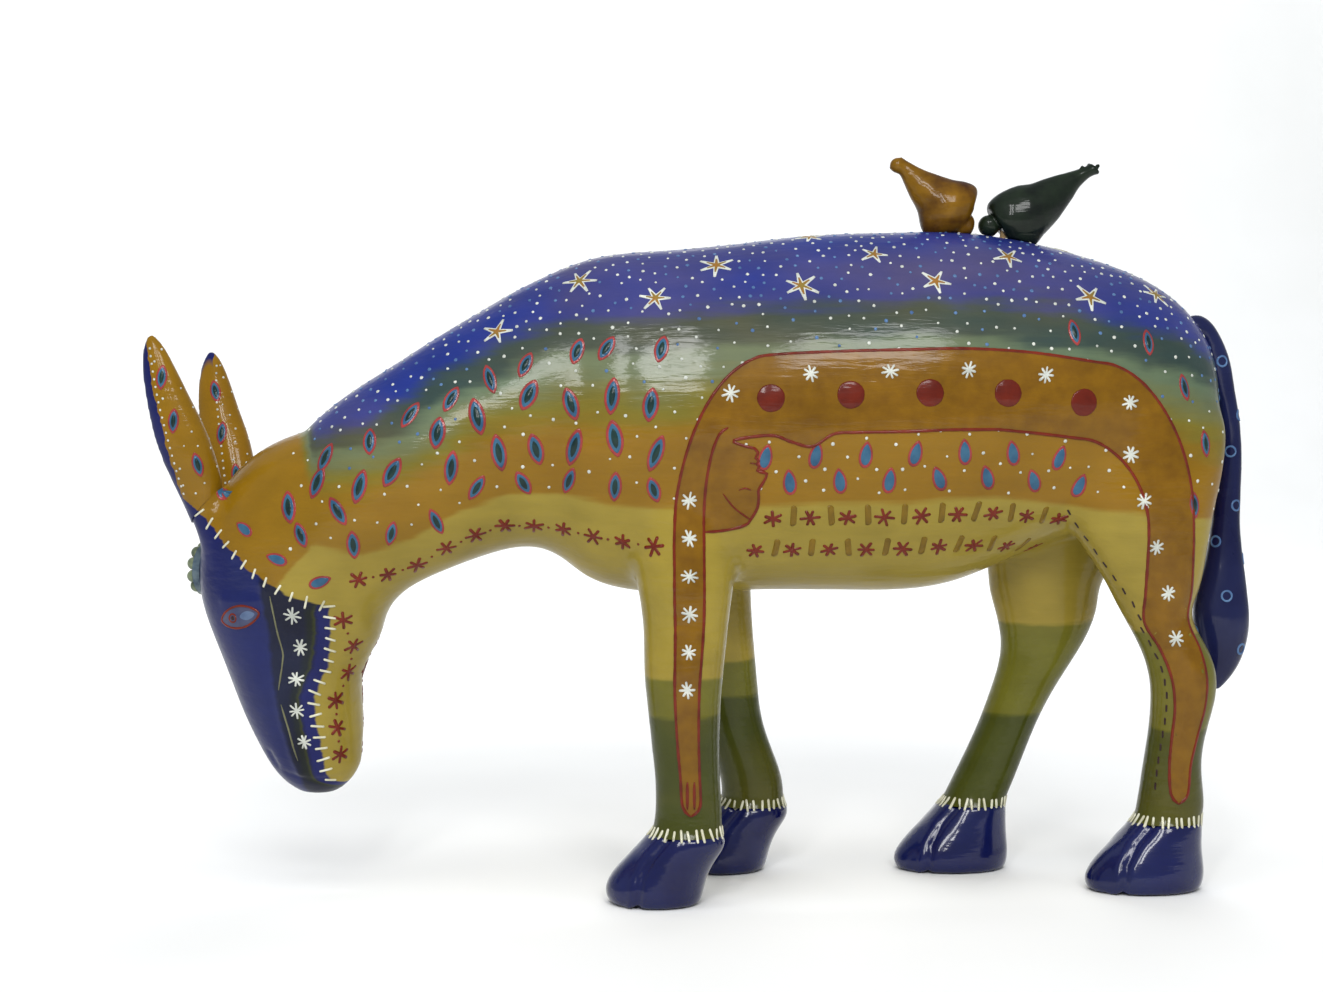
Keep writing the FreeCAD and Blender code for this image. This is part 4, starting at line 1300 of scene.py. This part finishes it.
# Dots over the bands, dense in the blue and thin lower down.
def scatter(body, tries, spacing_of, paints):
    faces = []
    for obj in [o for o in carved.values() if o["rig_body"] == body]:
        mesh = obj.data
        faces += [(p.center.copy(), p.normal.copy(), p.area) for p in mesh.polygons if p.area < 1e-5]
    areas = np.cumsum([f[2] for f in faces])
    picks = np.searchsorted(areas, np.array([random.random() for _ in range(tries)]) * areas[-1])
    cell, grid = 8 * MM, {}
    blocked = {}
    for place, radius in taken:
        blocked.setdefault(tuple(int(math.floor(c / cell)) for c in place), []).append((place, radius))
    for pick in picks:
        place, normal, _ = faces[min(pick, len(faces) - 1)]
        spacing = spacing_of(place / MM, normal)
        if spacing is None:
            continue
        home = tuple(int(math.floor(c / cell)) for c in place)
        around = [(home[0] + i, home[1] + j, home[2] + k)
                  for i in (-1, 0, 1) for j in (-1, 0, 1) for k in (-1, 0, 1)]
        gap = spacing * MM
        if any((place - q).length < gap for key in around for q in grid.get(key, ())):
            continue
        if any((place - q).length < r + 0.8 * MM for key in around for q, r in blocked.get(key, ())):
            continue
        grid.setdefault(home, []).append(place)
        kind, material, radius = random.choices(paints, weights=[p[3] for p in paints])[0][:3]
        if place.z / MM < at(GREY_EDGE, place.x / MM):
            kind, material, radius = paints[0][:3]
        spot = Spot(body, place, normal, -1)
        coat_of(kind, body, material).dab(spot, round_dab(radius * random.uniform(0.75, 1.2), 7), 0.24, wrap=False)


def body_spacing(place, normal):
    x, _, z = place
    if x < NECK_LOW.x - 4 or z < at(OCHRE_EDGE, x) + 3:
        return None
    if abs(normal.y) > 0.25 and inside(figure_outline, x, z):
        return None
    if z > at(BLUE_EDGE, x):
        return 4.3
    if z > at(GREEN_EDGE, x):
        return 5.6
    return 7.4 if z > at(OLIVE_EDGE, x) else 8.0


scatter("carving", 30000, body_spacing, [("white_dots", WHITE, 0.78, 3), ("sky_dots", SKY, 0.85, 2)])
for ear in EARS:
    scatter(ear, 700, lambda place, normal: 5.5 if (TO_HEAD @ (place * MM)).x / MM > at(
        [(w, u) for u, w in MASK_TOP][::-1], place.z) + 2 else None, [("dots", WHITE, 0.55, 1)])

for coat in coats.values():
    coat.show()


# ---------------------------------------------------------------- floor, lights, camera


def studio():
    floor = bpy.data.meshes.new("floor")
    half, rise, bend = 2.6, 1.8, 24
    profile = [(-half, 0.0)] + [(half - 0.8 + 0.8 * math.sin(a), 0.8 - 0.8 * math.cos(a))
                                for a in (math.pi / 2 * i / bend for i in range(bend + 1))] + [(half, rise)]
    verts = [(x, y, z) for y, z in profile for x in (-3.2, 3.2)]
    floor.from_pydata(verts, [], [(2 * i, 2 * i + 1, 2 * i + 3, 2 * i + 2) for i in range(len(profile) - 1)])
    floor.shade_smooth()
    obj = bpy.data.objects.new("floor", floor)
    obj.location.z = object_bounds()[0].z
    bpy.context.scene.collection.objects.link(obj)
    paper = Paint("paper")
    tone = paper.spread(paper.noise(3.0), 0.3, 0.7, 0.0, 1.0)
    paper.put(paper.shader.inputs["Base Color"], paper.mix(tone, srgb(236, 236, 234), srgb(243, 243, 242)))
    paper.shader.inputs["Roughness"].default_value = 0.9
    floor.materials.append(paper.material)
    obj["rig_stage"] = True


def softbox(name, place, target, size, power, mirrored=True):
    light = bpy.data.lights.new(name, "AREA")
    light.shape = "RECTANGLE"
    light.size, light.size_y = size
    light.energy = power
    obj = bpy.data.objects.new(name, light)
    obj.location = place
    obj.rotation_euler = (Vector(target) - Vector(place)).to_track_quat("-Z", "Y").to_euler()
    obj.visible_camera, obj.visible_glossy = False, mirrored
    bpy.context.scene.collection.objects.link(obj)


def camera():
    lens = bpy.data.cameras.new("camera")
    lens.sensor_fit, lens.sensor_width, lens.lens = "HORIZONTAL", 36, 61.55
    lens.clip_start = 0.01
    obj = bpy.data.objects.new("camera", lens)
    turn, rise = math.radians(-5), math.radians(2.4)
    target = Vector((-19.1, MIDDLE_PLANE, 164)) * MM
    back = Vector((math.sin(turn) * math.cos(rise), -math.cos(turn) * math.cos(rise), math.sin(rise)))
    obj.location = target + back * 0.95
    obj.rotation_euler = (-back).to_track_quat("-Z", "Y").to_euler()
    bpy.context.scene.collection.objects.link(obj)
    bpy.context.scene.camera = obj


studio()
camera()
world = bpy.data.worlds.new("studio")
world.use_nodes = True
world.node_tree.nodes["Background"].inputs[0].default_value = srgb(232, 238, 245)
world.node_tree.nodes["Background"].inputs[1].default_value = 0.5
bpy.context.scene.world = world
bpy.context.scene.view_settings.view_transform = "Standard"
softbox("window_left", (-0.62, -1.7, 1.2), (-0.05, 0, 0.2), (0.16, 1.0), 9)
softbox("window_middle", (-0.3, -1.75, 1.2), (0, 0, 0.2), (0.14, 0.9), 9)
softbox("window_right", (0.3, -1.7, 1.2), (0, 0, 0.2), (0.5, 0.5), 11)
softbox("sky", (-0.2, -0.6, 2.2), (0, 0, 0.1), (2.0, 1.2), 17, False)
softbox("backdrop", (0.0, 1.2, 2.0), (0, 2.5, 0.5), (2.6, 0.6), 30, False)
softbox("fill_back", (0.5, 1.6, 1.1), (0, 0, 0.15), (1.2, 1.0), 9, False)

low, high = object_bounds()
